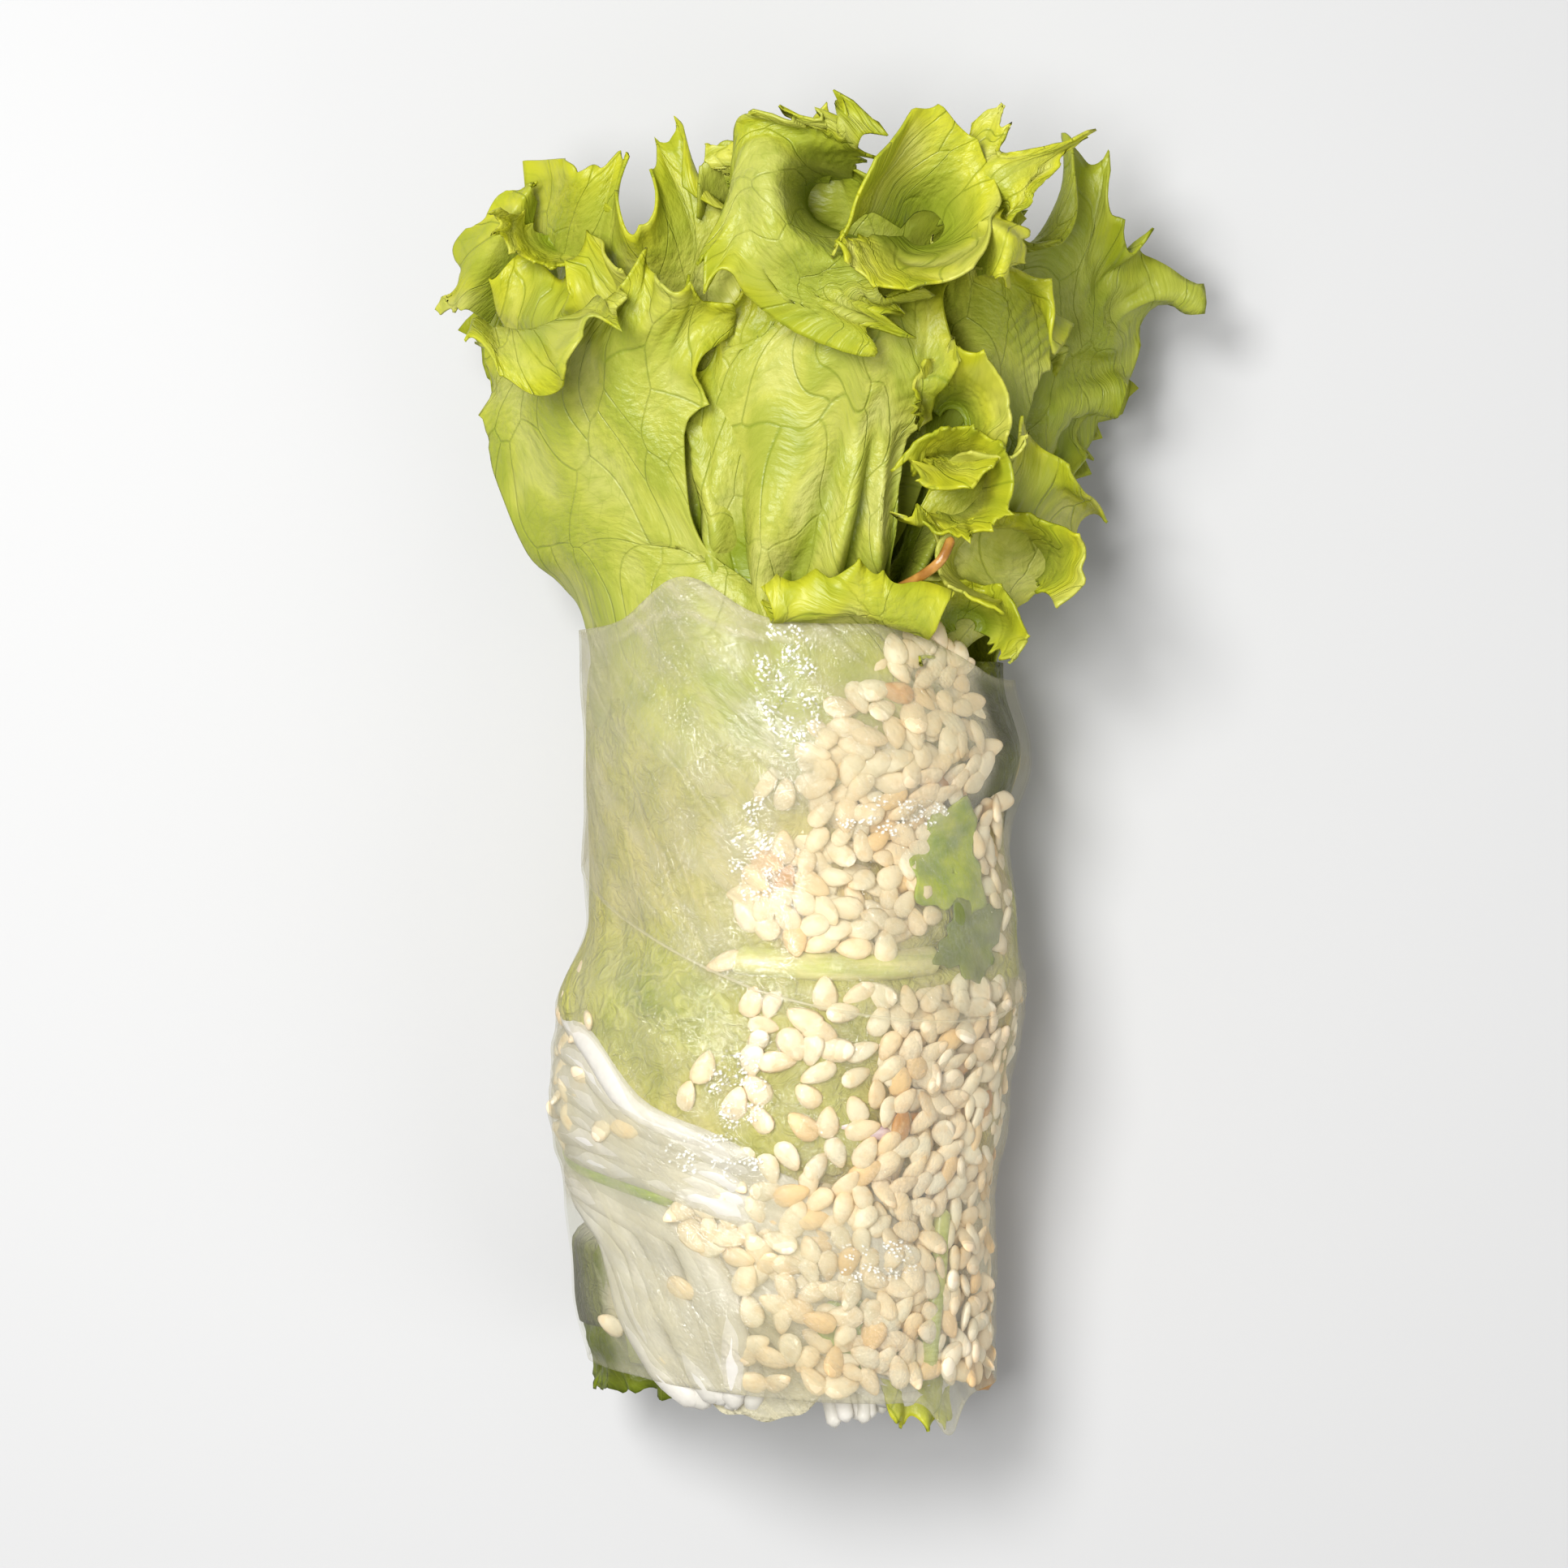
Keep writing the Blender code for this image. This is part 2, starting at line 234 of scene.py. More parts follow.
class Shader:
    """A short way to write node trees: each call adds a node and returns one of its outputs."""

    def __init__(self, name):
        self.material = bpy.data.materials.new(name)
        self.material.use_nodes = True
        self.tree = self.material.node_tree
        self.tree.nodes.clear()

    def add(self, kind, output=0, inputs=None, **settings):
        node = self.tree.nodes.new(kind)
        for key, value in settings.items():
            setattr(node, key, value)
        for key, value in (inputs or {}).items():
            socket = node.inputs[key]
            if isinstance(value, bpy.types.NodeSocket):
                self.tree.links.new(value, socket)
            elif socket.type == "RGBA" and len(value) == 3:
                socket.default_value = (*value, 1)
            else:
                socket.default_value = value
        return node.outputs[output]

    def attribute(self, name, output="Vector"):
        return self.add("ShaderNodeAttribute", output, attribute_name=name)

    def parts(self, name):
        """The three numbers of a vector attribute."""
        node = self.add("ShaderNodeSeparateXYZ", inputs={"Vector": self.attribute(name)}).node
        return tuple(node.outputs)

    def math(self, operation, first, second=0, third=0):
        inputs = {0: first, 1: second, 2: third}
        return self.add("ShaderNodeMath", inputs=inputs, operation=operation)

    def times(self, first, second):
        return self.math("MULTIPLY", first, second)

    def fit(self, value, low, high, to_low=0, to_high=1, smooth=False):
        kind = "SMOOTHSTEP" if smooth else "LINEAR"
        inputs = {"Value": value, "From Min": low, "From Max": high, "To Min": to_low, "To Max": to_high}
        return self.add("ShaderNodeMapRange", inputs=inputs, interpolation_type=kind)

    def mix(self, factor, first, second):
        node = self.tree.nodes.new("ShaderNodeMix")
        node.data_type = "RGBA"
        for key, value in (("Factor", factor), ("A", first), ("B", second)):
            socket = next(s for s in node.inputs if s.name == key and (key == "Factor" or s.type == "RGBA"))
            if isinstance(value, bpy.types.NodeSocket):
                self.tree.links.new(value, socket)
            elif key == "Factor":
                socket.default_value = value
            else:
                socket.default_value = (*value, 1)
        return next(s for s in node.outputs if s.type == "RGBA")

    def scaled(self, vector, scale):
        return self.add("ShaderNodeMapping", inputs={"Vector": vector, "Scale": scale})

    def noise(self, vector, scale, detail, distortion=0):
        inputs = {"Vector": vector, "Scale": scale, "Detail": detail, "Distortion": distortion}
        return self.add("ShaderNodeTexNoise", "Fac", inputs, noise_dimensions="2D")

    def cells(self, vector, scale, feature="DISTANCE_TO_EDGE"):
        inputs = {"Vector": vector, "Scale": scale}
        return self.add("ShaderNodeTexVoronoi", "Distance", inputs, feature=feature, voronoi_dimensions="2D")

    def bump(self, height, distance, strength):
        inputs = {"Height": height, "Distance": distance * MM, "Strength": strength}
        return self.add("ShaderNodeBump", inputs=inputs)

    def principled(self, colour, roughness, more=None):
        inputs = {"Base Color": colour, "Roughness": roughness, **(more or {})}
        return self.add("ShaderNodeBsdfPrincipled", inputs=inputs)

    def glow(self, colour, **more):
        return self.add("ShaderNodeBsdfTranslucent", inputs={"Color": colour, **more})

    def both(self, share, first, second):
        """Two surfaces, with this share of the second."""
        return self.add("ShaderNodeMixShader", inputs={0: share, 1: first, 2: second})

    def output(self, surface):
        output = self.tree.nodes.new("ShaderNodeOutputMaterial")
        self.tree.links.new(surface, output.inputs["Surface"])
        return self.material


def srgb(*values):
    """A colour given as 0 to 255 sRGB values, made linear."""
    return tuple(v / 255 / 12.92 if v <= 10.31 else ((v / 255 + 0.055) / 1.055) ** 2.4 for v in values)


def lettuce_material(name, base, middle, margin, vein, shade, translucency=0.30):
    """Thin waxy leaf: pale ribs at its base, brightest at its margin, with veins and a puckered surface."""
    sh = Shader(name)
    leaf = sh.attribute("leaf")
    across, along, tone = sh.parts("rib")
    edge, mottle, fade = sh.parts("patch")
    long_cells = sh.scaled(leaf, (1, 0.45, 1))
    net = sh.times(sh.fit(sh.cells(long_cells, 0.24), 0, 0.026, 1, 0), sh.fit(along, 0.2, 0.4))
    fine = sh.fit(sh.cells(long_cells, 0.80), 0, 0.05, 1, 0)
    fans = sh.math("SINE", sh.math("MULTIPLY_ADD", across, 13, sh.times(mottle, 2)))
    ribs = sh.times(sh.fit(fans, 0.35, 1), sh.fit(along, 0.05, 0.55, 1, 0))
    grain = sh.noise(leaf, 0.9, 3)
    blade = sh.mix(sh.fit(along, 0.05, 0.45, smooth=True), base, middle)
    blade = sh.mix(sh.fit(edge, 0.25, 0.9), blade, margin)
    blade = sh.mix(sh.fit(mottle, -0.1, 1, 0, 0.45), blade, shade)
    blade = sh.mix(sh.fit(mottle, -0.2, -1.2, 0, 0.35), blade, base)
    blade = sh.mix(sh.fit(grain, 0.42, 0.75, 0, 0.35), blade, shade)
    blade = sh.mix(sh.times(net, sh.fit(fade, -0.6, 0.6, 0.10, 0.48)), blade, vein)
    blade = sh.mix(sh.times(fine, sh.fit(fade, 0.6, -0.6, 0.03, 0.22)), blade, vein)
    blade = sh.mix(sh.times(ribs, 0.45), blade, base)
    # Painted shade: the rib attribute's third value (tone, pleat valleys, feet) darkens the blade towards the
    # shade colour.
    blade = sh.mix(tone, blade, shade)
    height = sh.math("MULTIPLY_ADD", net, -0.35, sh.math("ADD", grain, sh.times(ribs, 0.5)))
    normal = sh.bump(height, 0.30, 0.7)
    surface = sh.principled(blade, 0.40, {"Normal": normal, "Specular IOR Level": 0.4})
    glow = sh.glow(sh.mix(0.5, blade, margin), Normal=normal)
    return sh.output(sh.both(translucency, surface, glow))


bright = lettuce_material(
    "lettuce", srgb(216, 214, 138), srgb(194, 196, 84), srgb(202, 202, 44), srgb(114, 136, 22),
    srgb(140, 156, 36),
)


# ---------------------------------------------------------------- lettuce leaves


def curve_through(knots, t):
    """Places at t, from 0 to 1, on the smooth curve through the knots."""
    ends = np.concatenate((2 * knots[:1] - knots[1:2], knots, 2 * knots[-1:] - knots[-2:-1]))
    at = np.clip(t, 0, 1) * (len(knots) - 1 - 1e-9)
    i = at.astype(int)
    f = (at - i).reshape(at.shape + (1,) * (knots.ndim - 1))
    p0, p1, p2, p3 = ends[i], ends[i + 1], ends[i + 2], ends[i + 3]
    return 0.5 * (
        2 * p1 + (p2 - p0) * f + (2 * p0 - 5 * p1 + 4 * p2 - p3) * f**2 + (3 * p1 - p0 - 3 * p2 + p3) * f**3
    )


def across(row, s):
    """The smooth curve through a row of points, from its left at s = -1 to its right at s = 1."""
    return curve_through(np.asarray(row, float), (s + 1) / 2)


def even_steps(knots, rows):
    """The curve through the knots at rows places, about the same distance apart along its middle."""
    fine = curve_through(knots, np.linspace(0, 1, 400))
    middle = fine[:, fine.shape[1] // 2]
    run = np.concatenate(([0], np.cumsum(np.linalg.norm(np.diff(middle, axis=0), axis=1))))
    return curve_through(knots, np.interp(np.linspace(0, run[-1], rows), run, np.linspace(0, 1, 400)))


def blade_guide(base, depth, rows_through, columns, rows):
    """A leaf from inside the mouth, out along the film's inside, and then through rows of points.

    Its foot lies deeper, out of sight, and so do its sides where they are near the crest."""
    s = np.linspace(-1, 1, columns)
    a = base[0] + (base[1] - base[0]) * (s + 1) / 2
    depth = depth + 2 * np.abs(s) ** 6 * ramp(np.abs(a), 26, 16)
    foot = wrap(a, LEAF_START - FOOT_REACH, depth + FOOT_SINK)
    start = wrap(a, LEAF_START, depth + 0.2)
    mouth = wrap(a, film_top(a) + 0.5, depth)
    outside = [across(row, s) for row in rows_through]
    return even_steps(np.stack([foot, start, mouth] + outside), rows)


def cup_guide(centre, radius, height, around, tilt, hole, columns, rows):
    """A curled leaf margin: a funnel that opens upwards from its hole, a share of its radius wide.

    It runs around = (first, last) degrees clockwise from +Y."""
    angle = np.radians(np.linspace(around[0], around[1], columns))
    v = np.linspace(0, 1, rows)[:, None]
    reach = hole + (1 - hole) * v**0.7
    x = radius[0] * reach * np.sin(angle)
    y = radius[1] * reach * np.cos(angle)
    z = height * v**1.6 + tilt[0] * x + tilt[1] * y
    return stacked(centre[0] + x, centre[1] + y, centre[2] + z)


def lengths(points, axis):
    """The distances between neighbours along an axis of a grid of points."""
    return np.linalg.norm(np.diff(points, axis=axis), axis=-1)


def from_edge(points, axis, reverse):
    """Each point's distance to the sheet's edge along an axis."""
    step = lengths(points, axis)
    if reverse:
        step = np.flip(step, axis)
    run = np.cumsum(np.insert(step, 0, 0, axis=axis), axis=axis)
    return np.flip(run, axis) if reverse else run


# How a sheet settles: in how many steps, how far it moves in each, how much of its last move it keeps, how
# strongly a spring may pull, how firmly the foot is held, and how low the sheet may hang.
STEPS, RATE, MOMENTUM = 220, 0.5, 0.82
PULL_LIMIT = 0.3
FOOT_HOLD = 0.8
LOWEST = 0.4


def spring_links(guide, growth, stiff):
    """Springs between neighbours, and longer ones that only push: ends, rest length, strength, only push."""
    cells = [max(np.median(lengths(guide, axis)), 0.05) for axis in (0, 1)]
    shifts = [(0, 1, 1, False), (1, 0, 1, False), (1, 1, 0.5, False), (1, -1, 0.5, False)]
    for reach in (1, 3):
        down, right = (max(2, round(reach / cell)) for cell in cells)
        shifts += [(down, 0, stiff, True), (0, right, stiff, True)]
    links = []
    rows, columns = growth.shape
    for down, right, strength, only_push in shifts:
        first = (slice(0, rows - down), slice(max(0, -right), columns - max(0, right)))
        second = (slice(down, rows), slice(max(0, right), columns + min(0, right)))
        rest = np.linalg.norm(guide[second] - guide[first], axis=-1) * (growth[first] + growth[second]) / 2
        links.append((first, second, rest, strength, only_push))
    return links


def relaxed(guide, growth, hold, start, stiff):
    """Lets a sheet whose edge has grown longer than its middle settle into frills, as a lettuce leaf does."""
    links = spring_links(guide, growth, stiff)
    points, before = start.copy(), start.copy()
    for _ in range(STEPS):
        move = hold[..., None] * (guide - points)
        for first, second, rest, strength, only_push in links:
            gap = points[second] - points[first]
            length = np.maximum(np.sqrt(np.einsum("ijk,ijk->ij", gap, gap)), 1e-6)
            pull = 0.25 * strength * (1 - rest / length)
            if only_push:
                pull = np.minimum(pull, 0)
            pull = np.clip(pull, -PULL_LIMIT, PULL_LIMIT)[..., None] * gap
            move[first] += pull
            move[second] -= pull
        points, before = points + RATE * move + MOMENTUM * (points - before), points
        points[..., 2] = np.maximum(points[..., 2], LOWEST)
    return points


def pointed(angle):
    """Pointed teeth, 1 at each tip, half a turn apart."""
    return 1 - np.abs(np.sin(angle)) ** 0.6


def jagged(guide, s, v, seed, free, teeth, lobes):
    """The guide with lobes and teeth along its far edge and nicks down its sides, and its normals."""
    along, sideways = unit(np.gradient(guide, axis=0)), unit(np.gradient(guide, axis=1))
    count, depth = teeth
    at = s + 0.16 * drift(seed, s * 2.2)
    size = 0.35 + 0.65 * np.abs(drift(seed + 1, s * count * 0.37))
    tooth = pointed(math.pi * count * (at + 1) / 2)
    outline = lobes[1] * drift(seed + 2, s * lobes[0]) + depth * tooth * size
    guide = guide + along * (outline * ramp(v, 0.72, 1))[..., None]
    side_tooth = pointed(math.pi * count * (v + 0.1 * drift(seed + 3, v * 3)))
    nick = 0.55 * depth * side_tooth * ramp(np.abs(s), 0.80, 1) * ramp(v, free, free + 0.2)
    guide = guide + sideways * (np.sign(s) * nick)[..., None]
    return guide, unit(np.cross(sideways, along))


def pleated(guide, normal, s, v, seed, pleats):
    """The guide with pleats running up its lower half, and how deep in one each point lies, from 0 to 1."""
    fold = np.sin(math.pi * pleats[0] * s * (1.25 - 0.5 * v) + 2 * drift(seed + 6, s * 1.3, v * 2.6))
    deep = ramp(v, 0.20, 0.35) * (1 - ramp(v, 0.52, 0.80))
    return guide + normal * (pleats[1] * fold * deep)[..., None], ramp(-fold, 0.1, 1) * deep


def frilled(
    name, material, guide, seed, frill=(0.6, 4), side_frill=(0.3, 3.5), free=0.5, waves=(5, 0.6),
    teeth=(7, 2.6), lobes=(2, 1), pleats=(0, 0), tone=0, foot=0, firm=0.06, stiff=0.5,
):
    """One frilly sheet along a guide.

    Frill is (growth at its edge, how far that reaches in), and free is where along it the sheet lets go of
    its guide. Waves are the (length, height) of what starts the frills. Teeth and lobes are (count, depth)
    along the far edge, and pleats (count, height) lower down. Firm is how strongly the guide holds it, and
    stiff how strongly its folds are kept open. Tone darkens it all, and foot darkens its foot, both as
    painted shade, and the pleats' valleys get painted shade too."""
    rows, columns = guide.shape[:2]
    s, v = grid(columns, rows)
    guide, normal = jagged(guide, s, v, seed, free, teeth, lobes)
    top = from_edge(guide, 0, True)
    side = np.minimum(from_edge(guide, 1, False), from_edge(guide, 1, True))
    open_part = ramp(v, free, free + 0.25)
    growth = 1 + frill[0] * np.exp(-top / frill[1])
    growth = growth + side_frill[0] * np.exp(-side / side_frill[1]) * open_part
    wander = drift(seed + 4, *(guide[..., i] / waves[0] for i in range(3)))
    painted_valley_shade = 0
    if pleats[1]:
        guide, painted_valley_shade = pleated(guide, normal, s, v, seed, pleats)
    hold = firm * (1 - 0.985 * ramp(v, free, 0.97)) * (1 - 0.6 * ramp(np.abs(s), 0.6, 1) * open_part)
    hold[v < 0.5 * free] = FOOT_HOLD
    start = guide + normal * (waves[1] * wander * open_part)[..., None]
    points = relaxed(guide, growth, hold, start, stiff)
    run, reach = from_edge(guide, 1, False), from_edge(guide, 0, False)
    run = run - run[:, columns // 2][:, None]
    mottle = drift(seed + 7, run / 5, reach / 6) + 0.5 * drift(seed + 8, run / 2, reach / 2.4)
    normal = unit(np.cross(np.gradient(points, axis=1), np.gradient(points, axis=0)))
    points = points + normal * (0.16 * mottle * ramp(v, 0.1, 0.3))[..., None]
    wander = drift(seed + 9, run / 9, reach / 9), drift(seed + 10, run / 9, reach / 9)
    leaf = stacked(run + 2.2 * wander[0], reach + 3 * wander[1], 0 * s + 7 * seed)
    edge = np.maximum(np.exp(-top / 5.5), 0.85 * np.exp(-side / 2.5) * open_part)
    # Painted shade: tone darkens the whole sheet, and the pleat valleys and the foot darken further towards
    # the shade colour.
    dark = tone + 0.7 * painted_valley_shade + foot * ramp(v, 0.7, 0.1)
    rib = stacked(s, np.maximum(v, ramp(foot, 0, 0.1)), dark)
    patch = stacked(edge, mottle, drift(seed + 12, run / 6, reach / 6))
    obj = new_object(name, points, grid_faces(rows, columns), material, leaf=leaf, rib=rib, patch=patch)
    return solidify(obj, LEAF_THICKNESS)


def mouth_leaf(name, base, depth, through, size, **looks):
    """A leaf of the CAD model, from base = (first, last) round the film's inside, at this depth below it."""
    guide = blade_guide(base, depth, through, *size)
    show(frilled(f"{name}_blade", bright, guide, **looks), "lettuce", name)


def sheet(name, through, size=(100, 64), **looks):
    """A frill or a smaller leaf, through rows of points from its hidden foot to its margin."""
    columns, rows = size
    knots = np.stack([across(row, np.linspace(-1, 1, columns)) for row in through])
    # foot=0.8 paints shade at its foot.
    show(frilled(f"{name}_blade", bright, even_steps(knots, rows), foot=0.8, **looks), "lettuce")


def curl(name, centre, radius, height, around, tilt, hole=0.25, **looks):
    """A curled leaf edge, shaped by cup_guide. If its name starts with leaf_, the CAD model has it too."""
    guide = cup_guide(centre, radius, height, around, tilt, hole, columns=90, rows=40)
    # foot=1 paints shade down in the funnel.
    piece = frilled(f"{name}_blade", bright, guide, free=0.4, firm=0.12, foot=1, **looks)
    show(piece, "lettuce", *([name] if name.startswith("leaf_") else []))


mouth_leaf(
    "leaf_left", base=(-31, -2), depth=0.9, size=(110, 84), seed=3, free=0.66, tone=0.18, stiff=0.45,
    teeth=(6, 3.4), lobes=(2, 0.8), frill=(0.34, 3), side_frill=(0.2, 3), waves=(7, 0.6),
    through=(
        ((-24.5, 42, 17), (-17, 43, 25), (-8.4, 42, 29)),
        ((-27.6, 50, 18), (-18.5, 51, 27.5), (-9.8, 50, 31)),
        ((-27.4, 56, 21), (-18.5, 58, 30.5), (-9, 56, 33)),
        ((-27.4, 60.5, 25), (-22.5, 61.2, 31), (-16.5, 62, 34), (-12, 61, 35), (-8.3, 60, 34)),
        (
            (-26.6, 58.6, 30), (-22, 56.4, 35), (-17.5, 60, 36.5), (-14.2, 63.4, 35.5), (-11.2, 62, 36),
            (-7.6, 61, 35),
        ),
    ),
)
mouth_leaf(
    "leaf_centre", base=(-9, 11), depth=3.3, size=(120, 90), seed=8, free=0.6, stiff=0.35, teeth=(8, 1.6),
    lobes=(2.5, 0.6), frill=(0.3, 3), side_frill=(0.25, 2.5), waves=(6, 0.6), pleats=(4, 1.2),
    through=(
        ((-8, 43, 28), (1, 42, 31), (9.2, 42, 29)),
        ((-9, 50, 29), (2, 50, 32.5), (9.8, 50, 30)),
        ((-9.2, 56.6, 30), (2.5, 57, 35), (12.6, 56, 32)),
        ((-4, 60.5, 32), (3, 61.5, 35), (12, 61, 33)),
        ((-2, 63.5, 31), (4, 64.5, 33), (12, 64, 31)),
    ),
)
mouth_leaf(
    "leaf_flap", base=(-4, 12), depth=1.7, size=(90, 30), seed=5, teeth=(4, 1.4), lobes=(2.5, 0.5),
    frill=(0.2, 3), side_frill=(0.1, 2), waves=(6, 0.4),
    through=(
        ((-1.5, 34.8, 31.6), (5, 35, 32.6), (11.6, 33.8, 30.4)),
        ((-1.2, 37.4, 32.2), (5, 38.4, 33.4), (11.8, 37.2, 31.2)),
    ),
)
mouth_leaf(
    "leaf_right", base=(12, 22), depth=4.6, size=(90, 70), seed=12, teeth=(4, 2.6), lobes=(2, 0.6),
    frill=(0.25, 3.4), side_frill=(0.3, 3), waves=(9, 0.6),
    through=(
        ((13, 40, 26), (17.5, 41, 24), (22.5, 39, 20)),
        ((14, 45.5, 28), (20, 46.5, 26), (25.5, 43.5, 19)),
        ((16.5, 49, 30), (19, 48.5, 29.5), (21.2, 51.4, 28), (23.5, 47.5, 25), (26.5, 45.5, 21)),
    ),
)
mouth_leaf(
    "leaf_back_left", base=(-20, -7), depth=6.5, size=(120, 84), seed=17, free=0.6, tone=0.1, stiff=0.4,
    teeth=(9, 2.6), lobes=(2, 0.4), frill=(0.3, 3.2), side_frill=(0.2, 3), waves=(7, 0.7),
    through=(
        ((-21, 46, 14), (-16, 47, 20), (-9, 46, 23)),
        ((-22.5, 58, 15), (-15, 59, 23), (-6, 58, 25)),
        ((-22.5, 66, 18), (-18, 67, 23), (-13.6, 66, 27), (-9, 68, 28), (-5.5, 68, 28)),
        (
            (-22, 74, 22), (-18.5, 72.6, 26), (-16.3, 75, 28), (-14, 69.4, 30), (-12.2, 73.4, 30),
            (-9.8, 76.4, 30), (-8.4, 72, 30),
        ),
    ),
)
mouth_leaf(
    "leaf_back_centre", base=(-2.5, 9), depth=7, size=(120, 80), seed=22, free=0.6, tone=0.5, stiff=0.4,
    teeth=(8, 2.2), lobes=(2, 0.8), frill=(0.45, 3.6), waves=(7, 0.9),
    through=(
        ((-5, 46, 22), (3, 47, 24), (11, 46, 22)),
        ((-7, 60, 24), (4, 61, 27), (15, 60, 24)),
        ((-6, 68, 26), (4, 69, 29), (16, 68, 26)),
        ((-6, 73, 29), (-2.5, 75, 32), (2.5, 75.5, 33), (8, 73.5, 32), (16, 71, 29)),
    ),
)
mouth_leaf(
    "leaf_back_right", base=(10, 20), depth=7.5, size=(120, 84), seed=27, tone=0.55, stiff=0.4,
    lobes=(2, 0.8), frill=(0.4, 3.6), side_frill=(0.4, 3.5), waves=(7, 0.8), pleats=(2.4, 1.8),
    through=(
        ((11, 45, 20), (17, 46, 18), (22, 44, 14)),
        ((13, 56, 22), (20, 57, 20), (27.5, 54, 13)),
        ((14.5, 65, 25), (22.5, 67, 22), (31, 61, 13)),
        ((17, 71, 27), (21.5, 70, 26), (25.8, 74.6, 23), (29, 70.5, 19), (33, 65, 14)),
    ),
)
mouth_leaf(
    "leaf_inner", base=(-18, 18), depth=12, size=(100, 50), seed=31, tone=0.8, teeth=(9, 2.8), lobes=(3, 2),
    frill=(0.5, 5), waves=(8, 1),
    through=(
        ((-19, 48, 12), (0, 48, 16), (19, 48, 11)),
        ((-22, 64, 9), (0, 68, 14), (22, 64, 8)),
    ),
)
mouth_leaf(
    "leaf_under", base=(30, 83), depth=2, size=(110, 50), seed=36, tone=0.5, teeth=(10, 2.8), lobes=(3, 2),
    frill=(0.5, 4.5), waves=(8, 1),
    through=(
        ((24, 44, 4), (0, 44, 2.5), (-24, 44, 4)),
        ((27, 59, 7), (0, 66, 5), (-26, 60, 7)),
    ),
)

# What the three inner leaves share. Their tone is painted shade.
INNER = dict(size=(80, 44), free=0.45, tone=0.5, side_frill=(0.4, 3), waves=(6, 0.9))
sheet(
    "frill_centre", seed=64, tone=0.3, stiff=0.35, teeth=(9, 5), lobes=(4, 0.9), frill=(0.34, 3),
    side_frill=(0.1, 3),
    through=(
        ((5, 72.8, 27), (3, 73, 27), (2, 72.4, 27), (2, 71.2, 27), (3.4, 70.2, 27), (7, 69, 27)),
        (
            (5, 74.4, 37), (1.6, 74.6, 38), (-0.6, 73.4, 40.5), (-1.2, 70.4, 42), (0.8, 67.4, 41.5),
            (6.5, 65.2, 39.5),
        ),
        (
            (4.6, 75.4, 40.5), (0.8, 76, 40.5), (-3.2, 75, 40.5), (-4.2, 69.6, 41), (-2, 64.7, 41),
            (6.5, 62.8, 39.5),
        ),
        (
            (4.2, 76.2, 41), (-0.4, 76.8, 41), (-5, 75.4, 40), (-5.4, 69.2, 40), (-4.6, 64, 40),
            (2.3, 61.6, 39.5), (7.4, 62, 38.5),
        ),
    ),
)
sheet(
    "frill_crown", seed=65, free=0.4, teeth=(4, 1.2), frill=(0.25, 3), side_frill=(0.2, 3), waves=(5, 0.5),
    through=(
        ((-6, 73, 32), (-1, 73.4, 32), (3, 73.4, 32)),
        ((-6, 74.4, 34), (-1, 75.4, 36), (3.4, 75, 35)),
        ((-6.2, 75, 34.5), (-4.4, 76.4, 36), (-2.4, 75.2, 37), (-0.6, 76.4, 37.5), (2.2, 77.4, 37)),
    ),
)
sheet(
    "frill_bowl", seed=67, free=0.4, stiff=0.4, teeth=(8, 1.6), lobes=(2, 0.4), frill=(0.22, 3),
    side_frill=(0.15, 3), waves=(5, 0.4),
    through=(
        (
            (9.2, 69.2, 33), (10.6, 70.6, 33), (12.2, 70.6, 33), (13.2, 69.2, 33), (12.2, 67.8, 33),
            (10.6, 67.6, 33), (9.4, 68.4, 33),
        ),
        (
            (6.2, 70, 38), (8.8, 73, 37), (13, 73.5, 36), (15.2, 70.5, 36), (14.6, 67, 38), (10, 65.6, 38.5),
            (6.6, 67.4, 38.5),
        ),
        (
            (3.8, 68, 42), (6.8, 73, 42), (11.6, 77.4, 39.5), (15.6, 74.4, 38), (16.6, 70, 39.5),
            (14, 65.6, 42), (8.5, 63.7, 43), (5.2, 65.6, 43),
        ),
    ),
)
sheet(
    "frill_lobe", seed=69, free=0.4, teeth=(5, 1.5), frill=(0.22, 3), side_frill=(0.2, 3), waves=(5, 0.4),
    through=(
        ((12.5, 69.5, 32), (14.5, 70, 32), (16.5, 68.5, 32)),
        ((14.2, 73.4, 35), (17.4, 73, 37), (18.4, 70.6, 36)),
        ((15.4, 75.4, 35), (18, 76.6, 36), (20, 75, 37), (22.6, 75.4, 36), (20.8, 72, 37), (18.4, 70, 37)),
    ),
)
sheet(
    "frill_roll", size=(60, 36), seed=71, free=0.3, teeth=(3, 0.8), frill=(0.15, 2.4), side_frill=(0.1, 2.4),
    waves=(4, 0.4),
    through=(
        ((14.6, 67, 36), (15.6, 66, 36), (16, 64.6, 36)),
        ((16.2, 68.4, 40), (17.8, 67, 41), (17.4, 64.4, 40)),
        ((17.8, 69, 38.5), (19.6, 67, 39.5), (18.4, 64, 38.5)),
    ),
)
sheet(
    "tip_left", seed=73, free=0.4, firm=0.2, teeth=(4, 1.2), frill=(0.1, 3), side_frill=(0.05, 3),
    waves=(5, 0.3),
    through=(
        ((-28.2, 63, 15), (-26.2, 66, 18), (-24.6, 69.2, 20), (-23.4, 73.2, 22)),
        ((-30.2, 64, 18), (-28.4, 67.6, 21), (-26.2, 70.6, 23), (-24, 73.7, 24)),
        ((-32, 64.6, 16), (-30.7, 67.5, 18), (-29.8, 70.4, 19), (-26.8, 72.6, 22), (-24.2, 74.3, 23)),
    ),
)
sheet(
    "tip_behind", seed=75, teeth=(5, 2), frill=(0.35, 3), side_frill=(0.2, 3),
    through=(
        ((-25, 55, 18), (-20, 56, 24), (-14, 57, 27)),
        ((-25.5, 62, 19), (-20, 63, 26), (-14.5, 62.5, 29)),
        ((-25.5, 64.5, 20), (-23.4, 66.2, 22), (-20.6, 63.8, 26), (-18.4, 66.4, 27), (-15.2, 64.4, 30)),
    ),
)
